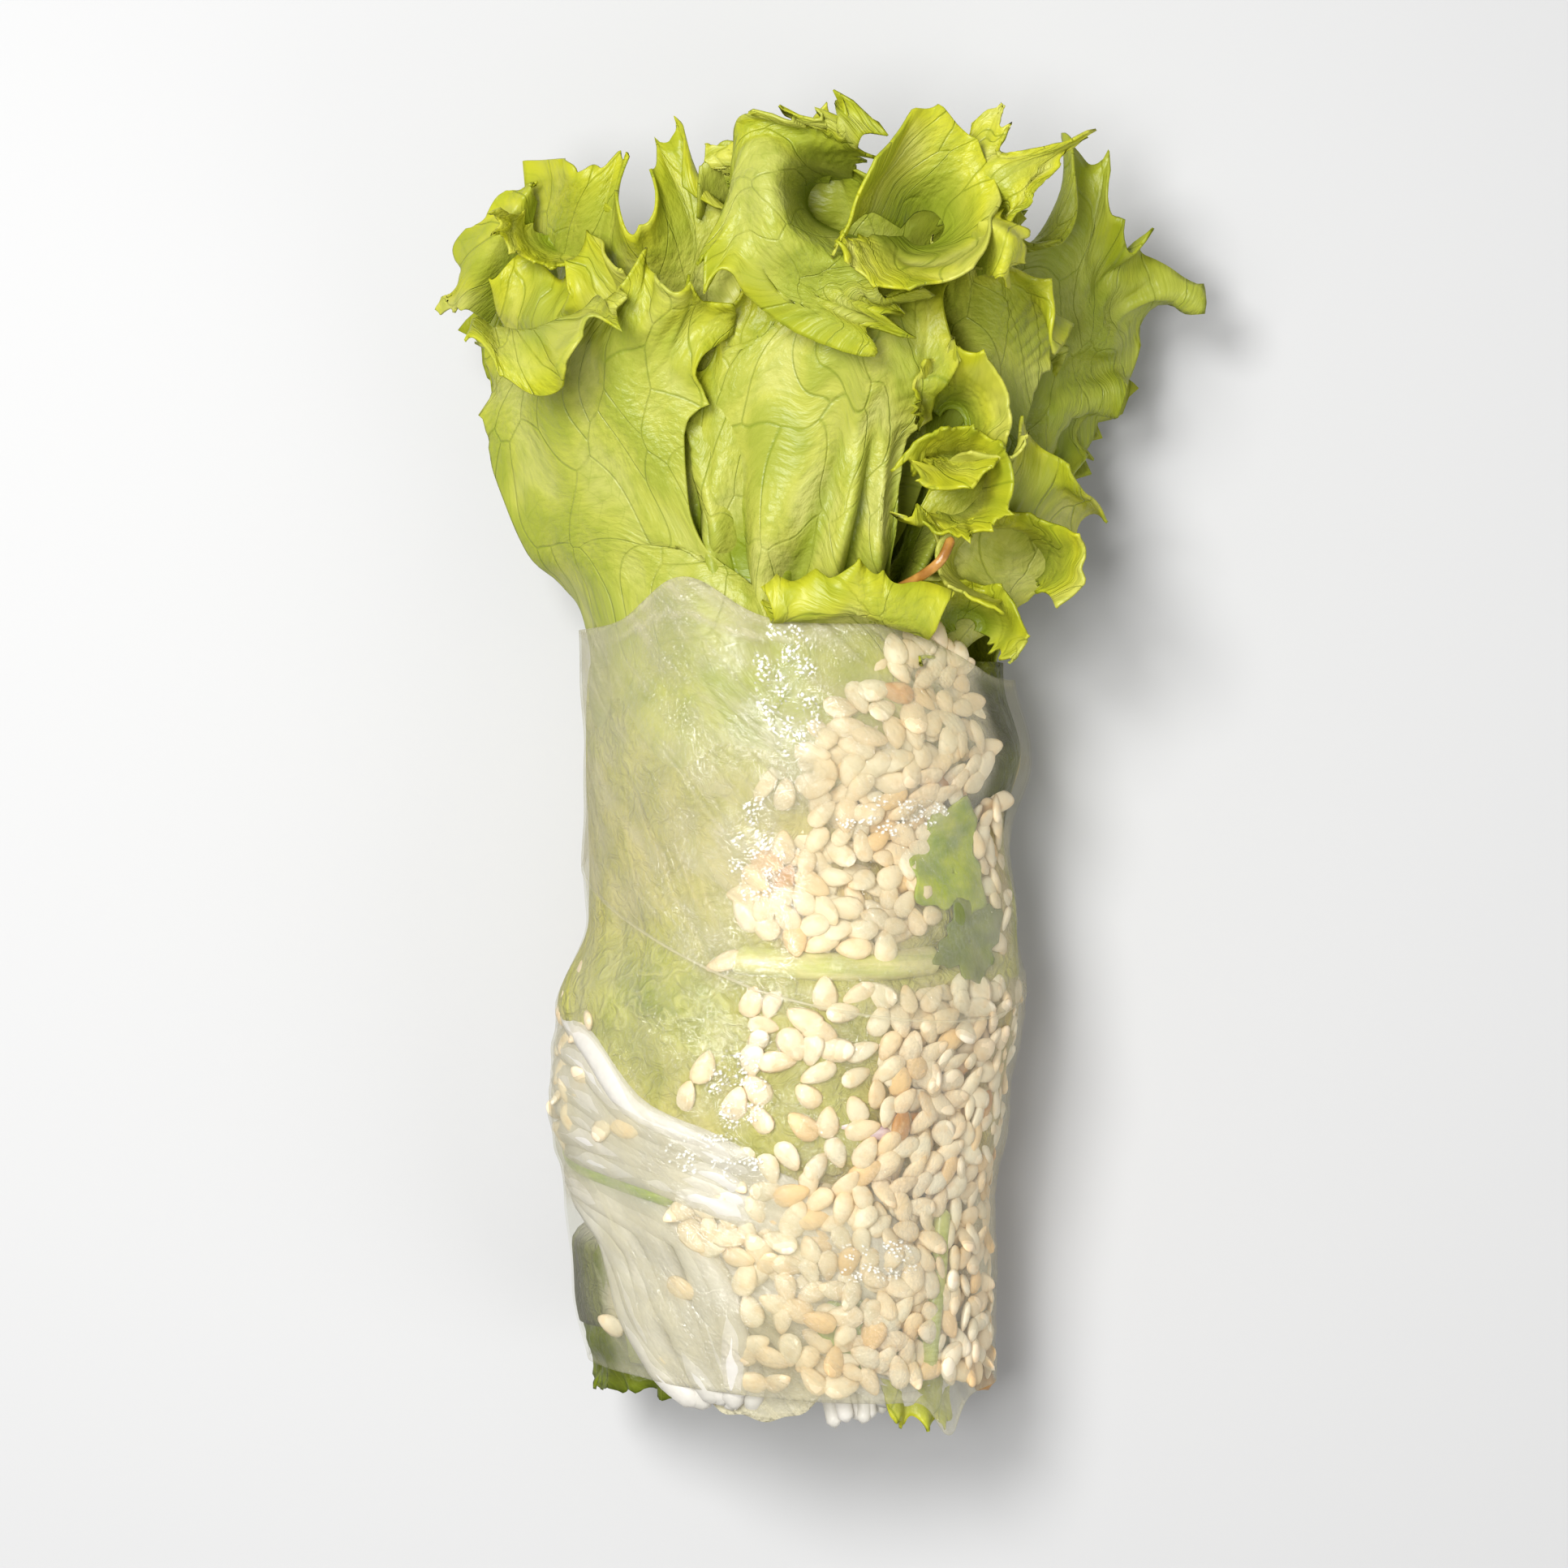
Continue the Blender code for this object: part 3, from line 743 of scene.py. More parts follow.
sheet(
    "tip_between", size=(60, 40), seed=77, free=0.4, teeth=(3, 1.8), frill=(0.4, 2.6), side_frill=(0.2, 2),
    waves=(4, 0.5),
    through=(
        ((-10, 54, 28), (-7, 54, 30), (-3, 55, 31)),
        ((-9.5, 59, 29), (-6, 60, 32), (-2, 60, 33)),
        ((-8.5, 62.4, 30), (-6.2, 61.6, 33), (-3.8, 63.6, 33), (-1.2, 61.6, 34)),
    ),
)
sheet(
    "shoulder_right", size=(80, 50), seed=79, tone=0.15, teeth=(5, 1.8), frill=(0.35, 3.2),
    side_frill=(0.3, 3),
    through=(
        ((11, 50, 22), (15, 51, 24), (19.5, 49, 21)),
        ((12, 58, 25), (16.5, 59.5, 28), (22, 56.5, 23)),
        ((12, 63.5, 29), (17, 64.5, 32), (22.6, 61.5, 27)),
        ((12.5, 65, 31), (17.5, 64.8, 34), (22.8, 60.6, 29.5)),
    ),
)
sheet(
    "leaf_between", size=(60, 50), seed=87, free=0.6, tone=0.1, teeth=(4, 1.8), frill=(0.2, 3),
    side_frill=(0, 3), waves=(5, 0.5), pleats=(3, 0.8),
    through=(
        ((-11, 30, 24), (-6, 30, 26.5), (0, 30, 27)),
        ((-12, 44, 25.5), (-6.6, 45, 29), (0, 45, 28)),
        ((-12, 56, 28), (-6.6, 58, 31.5), (-1, 58, 30.5)),
    ),
)
sheet(
    "inner_low", seed=81, teeth=(8, 2.6), **INNER,
    through=(
        ((-12, 30, 8), (0, 30, 9), (12, 30, 8)),
        ((-16, 46, 8), (0, 46, 11), (15, 46, 7)),
        ((-19, 60, 11), (-2, 63, 13), (18, 58, 9)),
    ),
)
sheet(
    "inner_right", seed=83, **INNER,
    through=(
        ((2, 30, 14), (8, 30, 17), (14, 30, 14)),
        ((6, 46, 12), (14, 47, 17), (21, 44, 11)),
        ((10, 60, 14), (18, 62, 19), (27, 55, 12)),
    ),
)
sheet(
    "inner_left", seed=85, **INNER,
    through=(
        ((-14, 30, 14), (-8, 30, 17), (-2, 30, 14)),
        ((-21, 46, 11), (-13, 47, 18), (-4, 46, 15)),
        ((-24, 59, 13), (-14, 63, 20), (-3, 61, 18)),
    ),
)

# What the two small curls share.
SMALL_CURL = dict(
    height=5.5, tilt=(-0.2, 0), hole=0.4, stiff=0.3, teeth=(7, 2.4), frill=(0.75, 2.4), waves=(3, 0.6)
)
curl(
    "leaf_curl_right", centre=(19.2, 40.2, 20), radius=(5.2, 3.3), height=8, around=(-160, 130),
    tilt=(-0.15, 0.1), hole=0.5, seed=41, stiff=0.4, teeth=(6, 1.6), frill=(0.26, 2.4),
)
curl(
    "curl_left", centre=(-21.3, 70.2, 20), radius=(3.6, 2.6), height=5, around=(70, 280), tilt=(0, 0.1),
    seed=45, teeth=(4, 1.8), frill=(0.35, 2.6), waves=(4, 0.5),
)
curl("curl_small_upper", centre=(14, 52.4, 26.5), radius=(3, 3.8), around=(-60, 190), seed=47, **SMALL_CURL)
curl("curl_small_lower", centre=(14, 46.8, 26), radius=(3, 3.4), around=(-40, 200), seed=49, **SMALL_CURL)
curl(
    "curl_mouth", centre=(15.4, 34.6, 23), radius=(3.8, 2.8), height=4, around=(-120, 120), tilt=(-0.2, 0.1),
    seed=51, tone=0.2, stiff=0.35, teeth=(6, 1.6), frill=(0.4, 2.4), waves=(4, 0.6),
)


# ---------------------------------------------------------------- what the film holds: places


def seam(a):
    """The loose edge of the film's last turn, running slantwise across the roll."""
    return 3 - 0.42 * (a + 5) + 0.011 * (a + 5) ** 2 * ramp(a, -5, 0)


def under_noodles(a, y):
    """1 where rice noodles lie against the film: a slanting band, and a bunch below it."""
    edge = (-46, 2), (-23, -1.5), (-18, -3.5), (-12, -8.6), (-5.7, -11), (0, -14.2), (6, -18)
    top = np.interp(a, *np.transpose(edge))
    band = ramp(y, top + 0.4, top - 1.2) * ramp(a, 9, 4)
    return band * ramp(a, -60, -44) * (1 - 0.9 * ramp(a, -17, -19.5) * ramp(y, -19, -22))


def spread(seed, count, keep, gap, a_range, y_range):
    """Random places on the unrolled film, at least gap apart. keep(a, y) gives their chance from 0 to 1."""
    rng = np.random.default_rng(seed)
    tries = np.column_stack([rng.uniform(*limits, count) for limits in (a_range, y_range, (0, 1))])
    tries = tries[tries[:, 2] < keep(tries[:, 0], tries[:, 1])]
    places = np.empty((0, 2))
    for place in tries[:, :2]:
        if not len(places) or np.min(np.hypot(*(places - place).T)) > gap:
            places = np.vstack((places, place))
    return places


def oval(a, y, centre, radii):
    """1 inside an oval on the unrolled film, falling to 0 just outside it."""
    return ramp(1 - ((a - centre[0]) / radii[0]) ** 2 - ((y - centre[1]) / radii[1]) ** 2, -0.12, 0.12)


# Where the seeds above the seam are crowded: centre and radii of each oval on the unrolled film.
CROWDS = (
    ((9, 21.6), (8.8, 7.6)), ((12.3, 29.4), (5.2, 4.8)), ((3.8, 10.5), (8.9, 5.2)), ((21.5, 12), (3.8, 7)),
)


def seed_chance(a, y):
    """How thickly the sesame seeds lie: two clusters on the right that run on round the roll, and strays.

    They leave the stem, the herb leaf and the stalk bare."""
    upper = np.max([oval(a, y, centre, radii) for centre, radii in CROWDS], axis=0)
    edge = -4.5 - 6.5 * hump(y, -17, 3.5) + 3 * hump(y, -12.5, 2.5)
    lower = ramp(a, edge - 0.5, edge + 2.5) * ramp(y, 3, 1.4)
    dense = np.maximum(hump(y, -20, 4.5), hump(a, 8, 6) * hump(y, -30, 4.5))
    thick = 0.16 + 0.84 * np.maximum(ramp(a, 6, 13), dense)
    thick = thick * (1 - 0.7 * hump(a, 1, 3.5) * hump(y, -12, 3))
    lower = lower * thick * (1 - 0.8 * ramp(a, 32, 48))
    strays = 0.05 * hump(a, -26, 6) * hump(y, -5, 7)
    stem = 1 - hump(y, 4.2, 1.9) * ramp(a, -8, -5) * (1 - ramp(a, 12.5, 15))
    herb = 1 - 0.98 * ramp(hump(a, 15.6, 5) * hump(y, 10.4, 7), 0.3, 0.7)
    stalk = 1 - 0.75 * hump(a - (19.8 + 0.19 * y), 0, 1.3) * ramp(y, -17, -19)
    return np.maximum(np.maximum(upper, lower), strays) * stem * herb * stalk


# ---------------------------------------------------------------- sesame seeds


def teardrop(segments, rings):
    """A flat drop with one pointed end, 1 long from tip to tip along its second axis, and its faces."""
    polar = np.linspace(0, math.pi, rings + 1)
    around = np.arange(segments) * TAU / segments
    width = np.sin(polar) * (1 - 0.30 * np.cos(polar))
    length = np.outer(np.cos(polar), np.ones(segments))
    points = stacked(np.outer(width, np.cos(around)), length, np.outer(width, np.sin(around)))
    return points.reshape(-1, 3) / 2, grid_faces(rings + 1, segments, ring=True)


def scatter(places, depths, sizes, seed, tilt=0.22):
    """Drops of (length, width, thickness) at places on the unrolled film, turned at random."""
    rng = np.random.default_rng(seed)
    drop, faces = teardrop(9, 7)
    points, grains = [], []
    for place, depth, size in zip(places, depths, sizes):
        turn, lean, roll = rng.uniform(0, TAU), rng.normal(0, tilt), rng.normal(0, tilt)
        across, along, up = (drop * (size[1], size[0], size[2])).T
        up = up + lean * along + roll * across
        a = place[0] + across * math.cos(turn) + along * math.sin(turn)
        y = place[1] - across * math.sin(turn) + along * math.cos(turn)
        points.append(wrap(a, y, depth - up))
        grains.append(np.column_stack((np.full(len(a), rng.uniform()), drop[:, 1] + 0.5, drop[:, 0])))
    faces = np.concatenate([faces + i * len(drop) for i in range(len(points))])
    return np.concatenate(points), faces, np.concatenate(grains)


def sesame_material():
    """Hulled sesame: cream, lightly toasted in places, with a few browned seeds."""
    sh = Shader("sesame")
    tone, along, _ = sh.parts("grain")
    blotch = sh.noise(sh.attribute("film"), 0.9, 2)
    colour = sh.mix(sh.fit(tone, 0, 0.85), srgb(255, 247, 223), srgb(255, 234, 198))
    colour = sh.mix(sh.fit(tone, 0.88, 0.94), colour, srgb(252, 216, 160))
    colour = sh.mix(sh.fit(tone, 0.984, 0.988), colour, srgb(206, 138, 54))
    colour = sh.mix(sh.fit(along, 0.78, 1, 0, 0.50), colour, srgb(232, 190, 128))
    colour = sh.mix(sh.fit(blotch, 0.48, 0.72, 0, 0.45), colour, srgb(246, 208, 152))
    return sh.output(sh.both(0.2, sh.principled(colour, 0.42), sh.glow(srgb(255, 232, 190))))


# Seeds that lie by themselves, on the unrolled film.
SINGLES = (
    (-3.4, 20.2), (-1.6, 19.4), (-6, 4.6), (-6.2, -4.7), (-7.4, -7.3), (-20.5, -2), (-13.2, -10.2),
    (-15.6, -10.4), (-21.5, -10), (-19.8, -6.9), (-9, -24.6), (-12.2, -31.1), (-3.6, -32.8), (-18.5, -28.6),
    (10.8, 33), (13, 33.6), (15.2, 31.9),
)

# A seed's length, width and thickness.
SEED_SIZE = np.array((2.95, 1.9, 0.85))


def crowded(a, y):
    """The chance of a seed in the second layer, which lies only where the first is thick."""
    return ramp(seed_chance(a, y), 0.35, 0.8)


top_seeds = spread(41, 24000, seed_chance, gap=1.58, a_range=(-34, 54), y_range=(-33.4, 32.4))
top_seeds = np.vstack((SINGLES, top_seeds))
under_seeds = spread(42, 12000, crowded, gap=1.7, a_range=(-8, 34), y_range=(-32, 31))
rng = np.random.default_rng(5)
depths = np.concatenate((rng.uniform(0.66, 0.95, len(top_seeds)), rng.uniform(1.4, 1.9, len(under_seeds))))
places = np.vstack((top_seeds, under_seeds))
sizes = SEED_SIZE * (1 + 0.09 * rng.normal(0, 1, (len(places), 1)))
points, faces, grains = scatter(places, depths, sizes, 6)
seeds = new_object("sesame_seeds", points, faces, sesame_material(), grain=grains, film=points)
show(seeds, "sesame", "sesame_upper", "sesame_lower")


# ---------------------------------------------------------------- noodles, stems and herbs

# The step between the numbers that tell tubes apart.
GOLDEN_SHARE = 0.618


def tube(path, radius, sides=8, squash=1):
    """A round strand along a path, closed at both ends, as points and faces."""
    path = np.asarray(path, float)
    onward = unit(np.gradient(path, axis=0))
    side = unit(np.cross(onward, (0, 0, 1)))
    up = np.cross(side, onward)
    around = np.arange(sides) * TAU / sides
    ring = side[:, None] * np.cos(around)[:, None] + up[:, None] * (squash * np.sin(around))[:, None]
    width = np.full(len(path), radius)
    width[[0, -1]] *= 0.6
    rows = path[:, None] + ring * width[:, None, None]
    tips = np.stack((path[0] - 0.35 * radius * onward[0], path[-1] + 0.35 * radius * onward[-1]))
    points = np.concatenate((rows.reshape(-1, 3), tips))
    first, last = len(points) - 2, len(points) - 1
    faces = grid_faces(len(rows), sides, ring=True).tolist()
    foot = last - 1 - sides
    for i in range(sides):
        faces.append([first, (i + 1) % sides, i])
        faces.append([last, foot + i, foot + (i + 1) % sides])
    return points, faces


def merged(pieces):
    """Tubes as one mesh, with a number from 0 to 1 at every point that tells its tube from the others."""
    points, faces, shares, base = [], [], [], 0
    for i, (piece, piece_faces) in enumerate(pieces):
        points.append(piece)
        faces += [[index + base for index in face] for face in piece_faces]
        shares.append(np.full(len(piece), (i * GOLDEN_SHARE) % 1))
        base += len(piece)
    return np.concatenate(points), faces, np.concatenate(shares)


def joined(pieces):
    """Tubes along the unrolled film as one mesh on the roll, with its point attributes."""
    flat, faces, shares = merged(pieces)
    return wrap(*flat.T), faces, dict(strand=shares, film=flat)


def strands(seed, count, first, last, depth, radius, wobble=0.35, steps=36):
    """A bundle of noodles whose routes ease from the first to the last. They lie deeper past the crest."""
    rng = np.random.default_rng(seed)
    t = np.linspace(0, 1, steps)
    pieces = []
    for share in (np.arange(count) + 0.5) / count:
        share = share + rng.normal(0, 0.22) / count
        path = curve_through(np.asarray(first, float) * (1 - share) + np.asarray(last, float) * share, t)
        k = int(rng.integers(1e6))
        path = path + wobble * np.column_stack((drift(k, t * 2.2), drift(k + 1, t * 2.2)))
        deep = rng.uniform(*depth) + 0.25 * drift(k + 2, t * 2)
        deep = np.maximum(deep, 2.1 * ramp(path[:, 0], -7, 0))
        pieces.append(tube(np.column_stack((path, deep)), radius * rng.uniform(0.85, 1.1), squash=0.8))
    return pieces


def glossy_material(name, light, dark, key, low, high, roughness=0.3, glow=0):
    """Two colours with a wet gloss, and a glow if light passes through.

    They are mixed by each strand's own number if the key is "strand", and else by noise of that scale."""
    sh = Shader(name)
    film = sh.attribute("film")
    if key == "strand":
        factor = sh.attribute("strand", "Fac")
    else:
        factor = sh.noise(sh.scaled(film, (*key, 1)), 1, 3)
    colour = sh.mix(sh.fit(factor, low, high), light, dark)
    grain = sh.noise(film, 1.3, 2)
    colour = sh.mix(sh.fit(grain, 0.35, 0.75, 0, 0.35), colour, dark)
    normal = sh.bump(grain, 0.12, 0.5)
    surface = sh.principled(colour, roughness, {"Normal": normal})
    if glow:
        surface = sh.both(glow, surface, sh.glow(light))
    return sh.output(surface)


# Routes of noodles on the unrolled film. Each bundle fills the space between two of them.
BAND = (
    ((-46, 3), (-32, 1), (-23, -1), (-18, -3.2), (-12, -8.6), (-5.7, -11), (0, -14.2), (6, -18), (12, -20)),
    (
        (-46, -17), (-32, -15), (-25, -14), (-19, -14), (-12, -15), (-7, -16.4), (-1, -18.5), (5, -21),
        (12, -23),
    ),
)
BUNCH = (
    (
        (-46, -15.5), (-32, -16), (-22, -16), (-15, -17), (-9, -18.5), (-6, -22.5), (-4.4, -28), (-4, -31),
        (-4.2, -35),
    ),
    (
        (-46, -19), (-32, -17.5), (-24, -18), (-19.5, -20), (-18, -23), (-16.6, -26.5), (-14.5, -30),
        (-12.5, -32.6), (-9, -34.6),
    ),
)
RIGHT = (
    ((-8, -17), (-2, -18.5), (3, -19), (9, -16), (15, -17.5), (22, -19), (30, -20)),
    ((-6, -22), (-1, -26), (2, -30), (4.5, -33), (8, -34.5), (13, -35), (18, -35)),
)
ENDS = (
    ((5, -24), (3.5, -29), (3.2, -33), (3.6, -36.6)),
    ((12, -24), (11.5, -29), (11, -33), (11.6, -36.2)),
)
noodle = glossy_material("noodle", srgb(240, 236, 228), srgb(224, 221, 210), "strand", 0, 1, 0.4, 0.35)
band = strands(51, 7, *BAND, depth=(1.3, 1.5), radius=1.35, wobble=0.5)
band += strands(52, 6, *BAND, depth=(2.4, 2.8), radius=1.3)
bunch = strands(53, 8, *BUNCH, depth=(1.2, 1.5), radius=1.2, wobble=0.7)
bunch += strands(54, 7, *BUNCH, depth=(2.2, 2.7), radius=1.2)
lower = strands(55, 12, *RIGHT, depth=(2.2, 2.9), radius=1, wobble=1)
ends = strands(56, 7, *ENDS, depth=(2.6, 3.8), radius=0.85, wobble=0.5)
for name, pieces in (("band", band), ("bunch", bunch + lower + ends)):
    points, faces, values = joined(pieces)
    show(new_object(f"noodles_{name}", points, faces, noodle, **values), "noodle", f"noodle_{name}")

# Stalks on the unrolled film: radius, the light and dark of their stripes, and knots.
STALKS = {
    "middle": (1.3, (216, 208, 150), (186, 188, 106), ((-5.4, 4.9), (0, 4.4), (6, 4.1), (12.8, 4.7))),
    "left": (0.75, (166, 188, 70), (120, 152, 36), ((-34, -13), (-25, -14.2), (-17, -15.2), (-9.4, -16.7))),
    "right": (0.85, (190, 192, 120), (156, 166, 82), ((16.5, -18), (15.6, -23), (14.6, -28), (13.6, -33))),
}
for side, (radius, light, dark, knots) in STALKS.items():
    name = f"herb_stem_{side}"
    flat = curve_through(np.asarray(knots, float), np.linspace(0, 1, 40))
    route = np.column_stack((flat, np.full(40, 0.38 + radius)))
    points, faces, values = joined([tube(route, radius, 14, 0.85)])
    material = glossy_material(name, srgb(*light), srgb(*dark), (0.15, 1.5), 0.35, 0.65)
    show(new_object(f"{name}_stalk", points, faces, material, **values), "stem", name)

SLIVER = ((5.2, -9.9, 1.2), (7, -10.3, 1.1), (8.6, -10.6, 1.1), (10, -11, 1.3))
shallot = glossy_material("shallot", srgb(236, 222, 226), srgb(196, 160, 176), (0.2, 1.4), 0.35, 0.7)
points, faces, values = joined([tube(SLIVER, 0.7, 12, 0.6)])
show(new_object("shallot_sliver_piece", points, faces, shallot, **values), "shallot", "shallot_sliver")


def flat_leaf(name, material, centre, size, turn, depth, lobes, seed, columns=60, rows=14):
    """A lobed herb leaf on the unrolled film: its size (length, width), turned clockwise from +Y."""
    around, v = np.meshgrid(np.arange(columns) * TAU / columns, np.linspace(0.02, 1, rows))
    edge = 1 + 0.20 * np.cos(lobes * around) + 0.08 * np.cos(3 * lobes * around + 0.7)
    edge = (edge + 0.05 * drift(seed, around * 2)) * (1 + 0.20 * np.cos(around))
    along = np.cos(around) * edge * v * size[0] / 2
    sideways = np.sin(around) * edge * v * size[1] / 2
    turn = math.radians(turn)
    a = centre[0] + along * math.sin(turn) + sideways * math.cos(turn)
    y = centre[1] + along * math.cos(turn) - sideways * math.sin(turn)
    deep = depth + 0.15 * drift(seed + 1, a / 2, y / 2)
    film = stacked(a, y, deep)
    obj = new_object(name, wrap(a, y, deep), grid_faces(rows, columns, ring=True), material, film=film)
    return solidify(obj, HERB_THICKNESS)


# Herb leaves on the unrolled film: centre, size, turn, depth, lobes, light, dark.
HERBS = {
    "coriander_leaf_upper": ((14.4, 12.4), (9.4, 8.6), 8, 0.50, 3, (176, 186, 40), (124, 148, 20)),
    "coriander_leaf_lower": ((15.8, 6.2), (9, 6.6), 70, 0.60, 4, (118, 132, 22), (86, 104, 12)),
    "herb_leaf_small": ((6.8, -29), (9.4, 7), 20, 1.7, 4, (150, 172, 76), (108, 136, 46)),
}
for i, (name, (centre, size, turn, depth, lobes, light, dark)) in enumerate(HERBS.items()):
    material = glossy_material(name, srgb(*light), srgb(*dark), (0.35, 0.5), 0.35, 0.7, 0.5)
    show(flat_leaf(f"{name}_blade", material, centre, size, turn, depth, lobes, 61 + i), "herb", name)

carrot = glossy_material("carrot", srgb(184, 134, 62), srgb(142, 94, 34), (0.6, 0.6), 0.35, 0.65, 0.35)
# Carrot shreds: knots in space, and radius.
SHREDS = {
    "carrot_shred_mouth": (((9, 37.6, 29.5), (11, 38.6, 31.5), (12.8, 40, 32.5), (13.8, 42, 32)), 0.45),
    "carrot_shred_end": (((16.4, -33, 13), (17.2, -34.4, 12.6), (17.9, -35.8, 12.4)), 1.05),
}
for name, (knots, radius) in SHREDS.items():
    path = curve_through(np.asarray(knots, float), np.linspace(0, 1, 24))
    points, faces = tube(path, radius, 10, 0.7)
    show(new_object(f"{name}_strip", points, faces, carrot, film=points), "carrot", name)


# ---------------------------------------------------------------- the lettuce filling


# Dark green lettuce with painted shade, for the leaf edge at the lower left, where shaded() is high.
dark_shaded_green = lettuce_material(
    "lettuce_dark_shaded", srgb(150, 158, 74), srgb(112, 122, 30), srgb(126, 142, 24), srgb(156, 164, 66),
    srgb(76, 84, 12),
)


def tucked_leaf(name, a_range, y_range, depth, material, seed, columns=110, rows=20):
    """Lettuce between the film and the filling, whose jagged edge shows at the open end."""
    s, v = grid(columns, rows)
    a = a_range[0] + (a_range[1] - a_range[0]) * (s + 1) / 2
    teeth = np.abs(np.sin(a * 0.9 + 1.5 * drift(seed, a / 3))) ** 0.5
    teeth = teeth * (0.5 + 0.5 * np.abs(drift(seed + 1, a / 2.5)))
    end = y_range[1] + 1.6 * teeth + 0.7 * drift(seed + 2, a / 7) + 3 * ramp(np.abs(s), 0.8, 1)
    y = y_range[0] + (end - y_range[0]) * v
    ripple = 0.5 * v * drift(seed + 3, a / 1.6, y / 2.5) + 0.25 * drift(seed + 4, a / 4, y / 4)
    ripple = ripple + 2.4 * under_noodles(a, y)
    mottle = drift(seed + 5, a / 4, y / 4)
    leaf = stacked(a, y, 0 * a)
    # Painted shade: the third value darkens the leaf further in from the open end.
    rib = stacked(s, 0.4 + 0.6 * v, 0.3 * (1 - v))
    patch = stacked(np.exp((y - end) / -0.9), mottle, drift(seed + 6, a / 5, y / 5))
    points, faces = wrap(a, y, depth + ripple), grid_faces(rows, columns)
    obj = new_object(f"{name}_blade", points, faces, material, leaf=leaf, rib=rib, patch=patch)
    show(solidify(obj, EDGE_THICKNESS), "lettuce", name)


tucked_leaf("lettuce_edge_left", (-42, -8), (-20, -35.8), 0.9, dark_shaded_green, 71)
tucked_leaf("lettuce_edge_right", (8.6, 19.6), (-28, -38), 2.2, bright, 81)


def filling_material():
    """Rolled lettuce, pale and streaky, with places that are greener, shaded, or white with noodles."""
    sh = Shader("lettuce_filling")
    film = sh.attribute("film")
    green, dark, white = sh.parts("tint")
    streak = sh.noise(sh.scaled(film, (0.34, 0.09, 1)), 1, 4, distortion=1.2)
    patch = sh.noise(film, 0.15, 4, distortion=0.5)
    pale = sh.mix(sh.fit(streak, 0.35, 0.65), srgb(190, 180, 110), srgb(162, 158, 76))
    fresh = sh.mix(sh.fit(patch, 0.32, 0.68), srgb(172, 174, 76), srgb(126, 138, 38))
    deep = sh.mix(sh.fit(patch, 0.35, 0.65), srgb(198, 176, 124), srgb(164, 148, 92))
    colour = sh.mix(green, pale, fresh)
    colour = sh.mix(sh.fit(dark, 0, 0.75), colour, deep)
    # Dark green with painted shade, used where shaded() is high.
    shade = sh.mix(sh.fit(patch, 0.35, 0.65), srgb(86, 90, 22), srgb(46, 48, 6))
    crinkle = sh.noise(film, 0.55, 3, distortion=1.5)
    colour = sh.mix(sh.times(green, sh.fit(crinkle, 0.50, 0.66, 0, 0.5)), colour, srgb(206, 204, 124))
    colour = sh.mix(sh.fit(dark, 0.75, 1), colour, shade)
    colour = sh.mix(white, colour, srgb(214, 209, 192))
    normal = sh.bump(sh.math("ADD", streak, crinkle), 0.7, 0.8)
    return sh.output(sh.principled(colour, 0.45, {"Normal": normal, "Specular IOR Level": 0.2}))


# The filling's two ends, and the share of its length over which each of them closes.
CORE_START, CORE_END = -29, 31.5
CORE_CLOSE = 0.05


def shaded(a, y):
    """1 where the filling is dark green with painted shade: by the mouth on the right, at the lower left."""
    ragged = 1.6 * drift(84, a / 3, y / 3)
    right = ramp(a, 15.5, 18) * ramp(a + 2 * ragged, 40, 27) * ramp(y + ragged, 12, 17)
    left = ramp(-a, 16.5, 19) * ramp(-a + 2 * ragged, 52, 36) * ramp(y, -16.5, -19)
    return np.maximum(right, left)


def stem_groove(a, y):
    """1 along the middle stem, which the filling gives way to."""
    return hump(y, 4.5, 1.7) * ramp(a, -8, -6) * ramp(a, 15, 13)


def filling_depth(a, y, noodles, crowd):
    """How far the filling lies below the film, with soft folds, and deeper where something lies between."""
    folds = 0.6 * drift(81, (a + 0.45 * y) / 3.2, (y - 0.45 * a) / 18) + 0.3 * drift(82, a / 2.5, y / 7)
    pale = ramp(y, seam(a), seam(a) + 2) * (1 - crowd) * ramp(a, 12, 2)
    depth = 0.95 - 0.30 * np.clip(folds, -1.2, 1.2) * (1 - crowd) + crowd + 2.2 * noodles
    depth = depth + 0.9 * ramp(y, -12, -18) * ramp(a, -6, 2) - 0.2 * pale
    depth = depth + 3.2 * ramp(y + 0.3 * (a + 8) + 2 * drift(83, a / 4, y / 8), 20, 31)
    depth = depth + 1.1 * stem_groove(a, y)
    left_end = np.where(a < 0, ramp(y, 30, 23), 1)
    return depth * (1 - 0.75 * ramp(np.abs(a), 17, 23) * (1 - noodles) * left_end)


def filling_tint(a, y, v, noodles, crowd):
    """How green, how dark and how white the filling is at each place."""
    greens = (
        hump(a, -12.5, 9.5) * hump(y, 0.5, 7),
        0.6 * ramp(y + 0.3 * (a + 8), 9, 24) * ramp(a, 16, 8),
        0.75 * ramp(-a, 14, 18) * ramp(y, -16, -19),
        0.4 * ramp(a, -6, 2) * ramp(y, 9, 2),
        0.8 * ramp(a, 17, 22) * ramp(a, 54, 44) * ramp(y, 2, 9),
    )
    # Darks: the deeper colour under crowded seeds and at the crest, and painted shade where shaded() is high.
    darks = 0.75 * crowd, shaded(a, y), 0.3 * hump(a, 0, 4) * hump(y, 16, 3)
    whites = (
        0.9 * noodles + 0.6 * ramp(y, -12, -18) * ramp(a, -6, 2),
        0.8 * ramp(v, CORE_CLOSE, 0.5 * CORE_CLOSE),
    )
    return stacked(*(np.clip(np.max(values, axis=0), 0, 1) for values in (greens, darks, whites)))


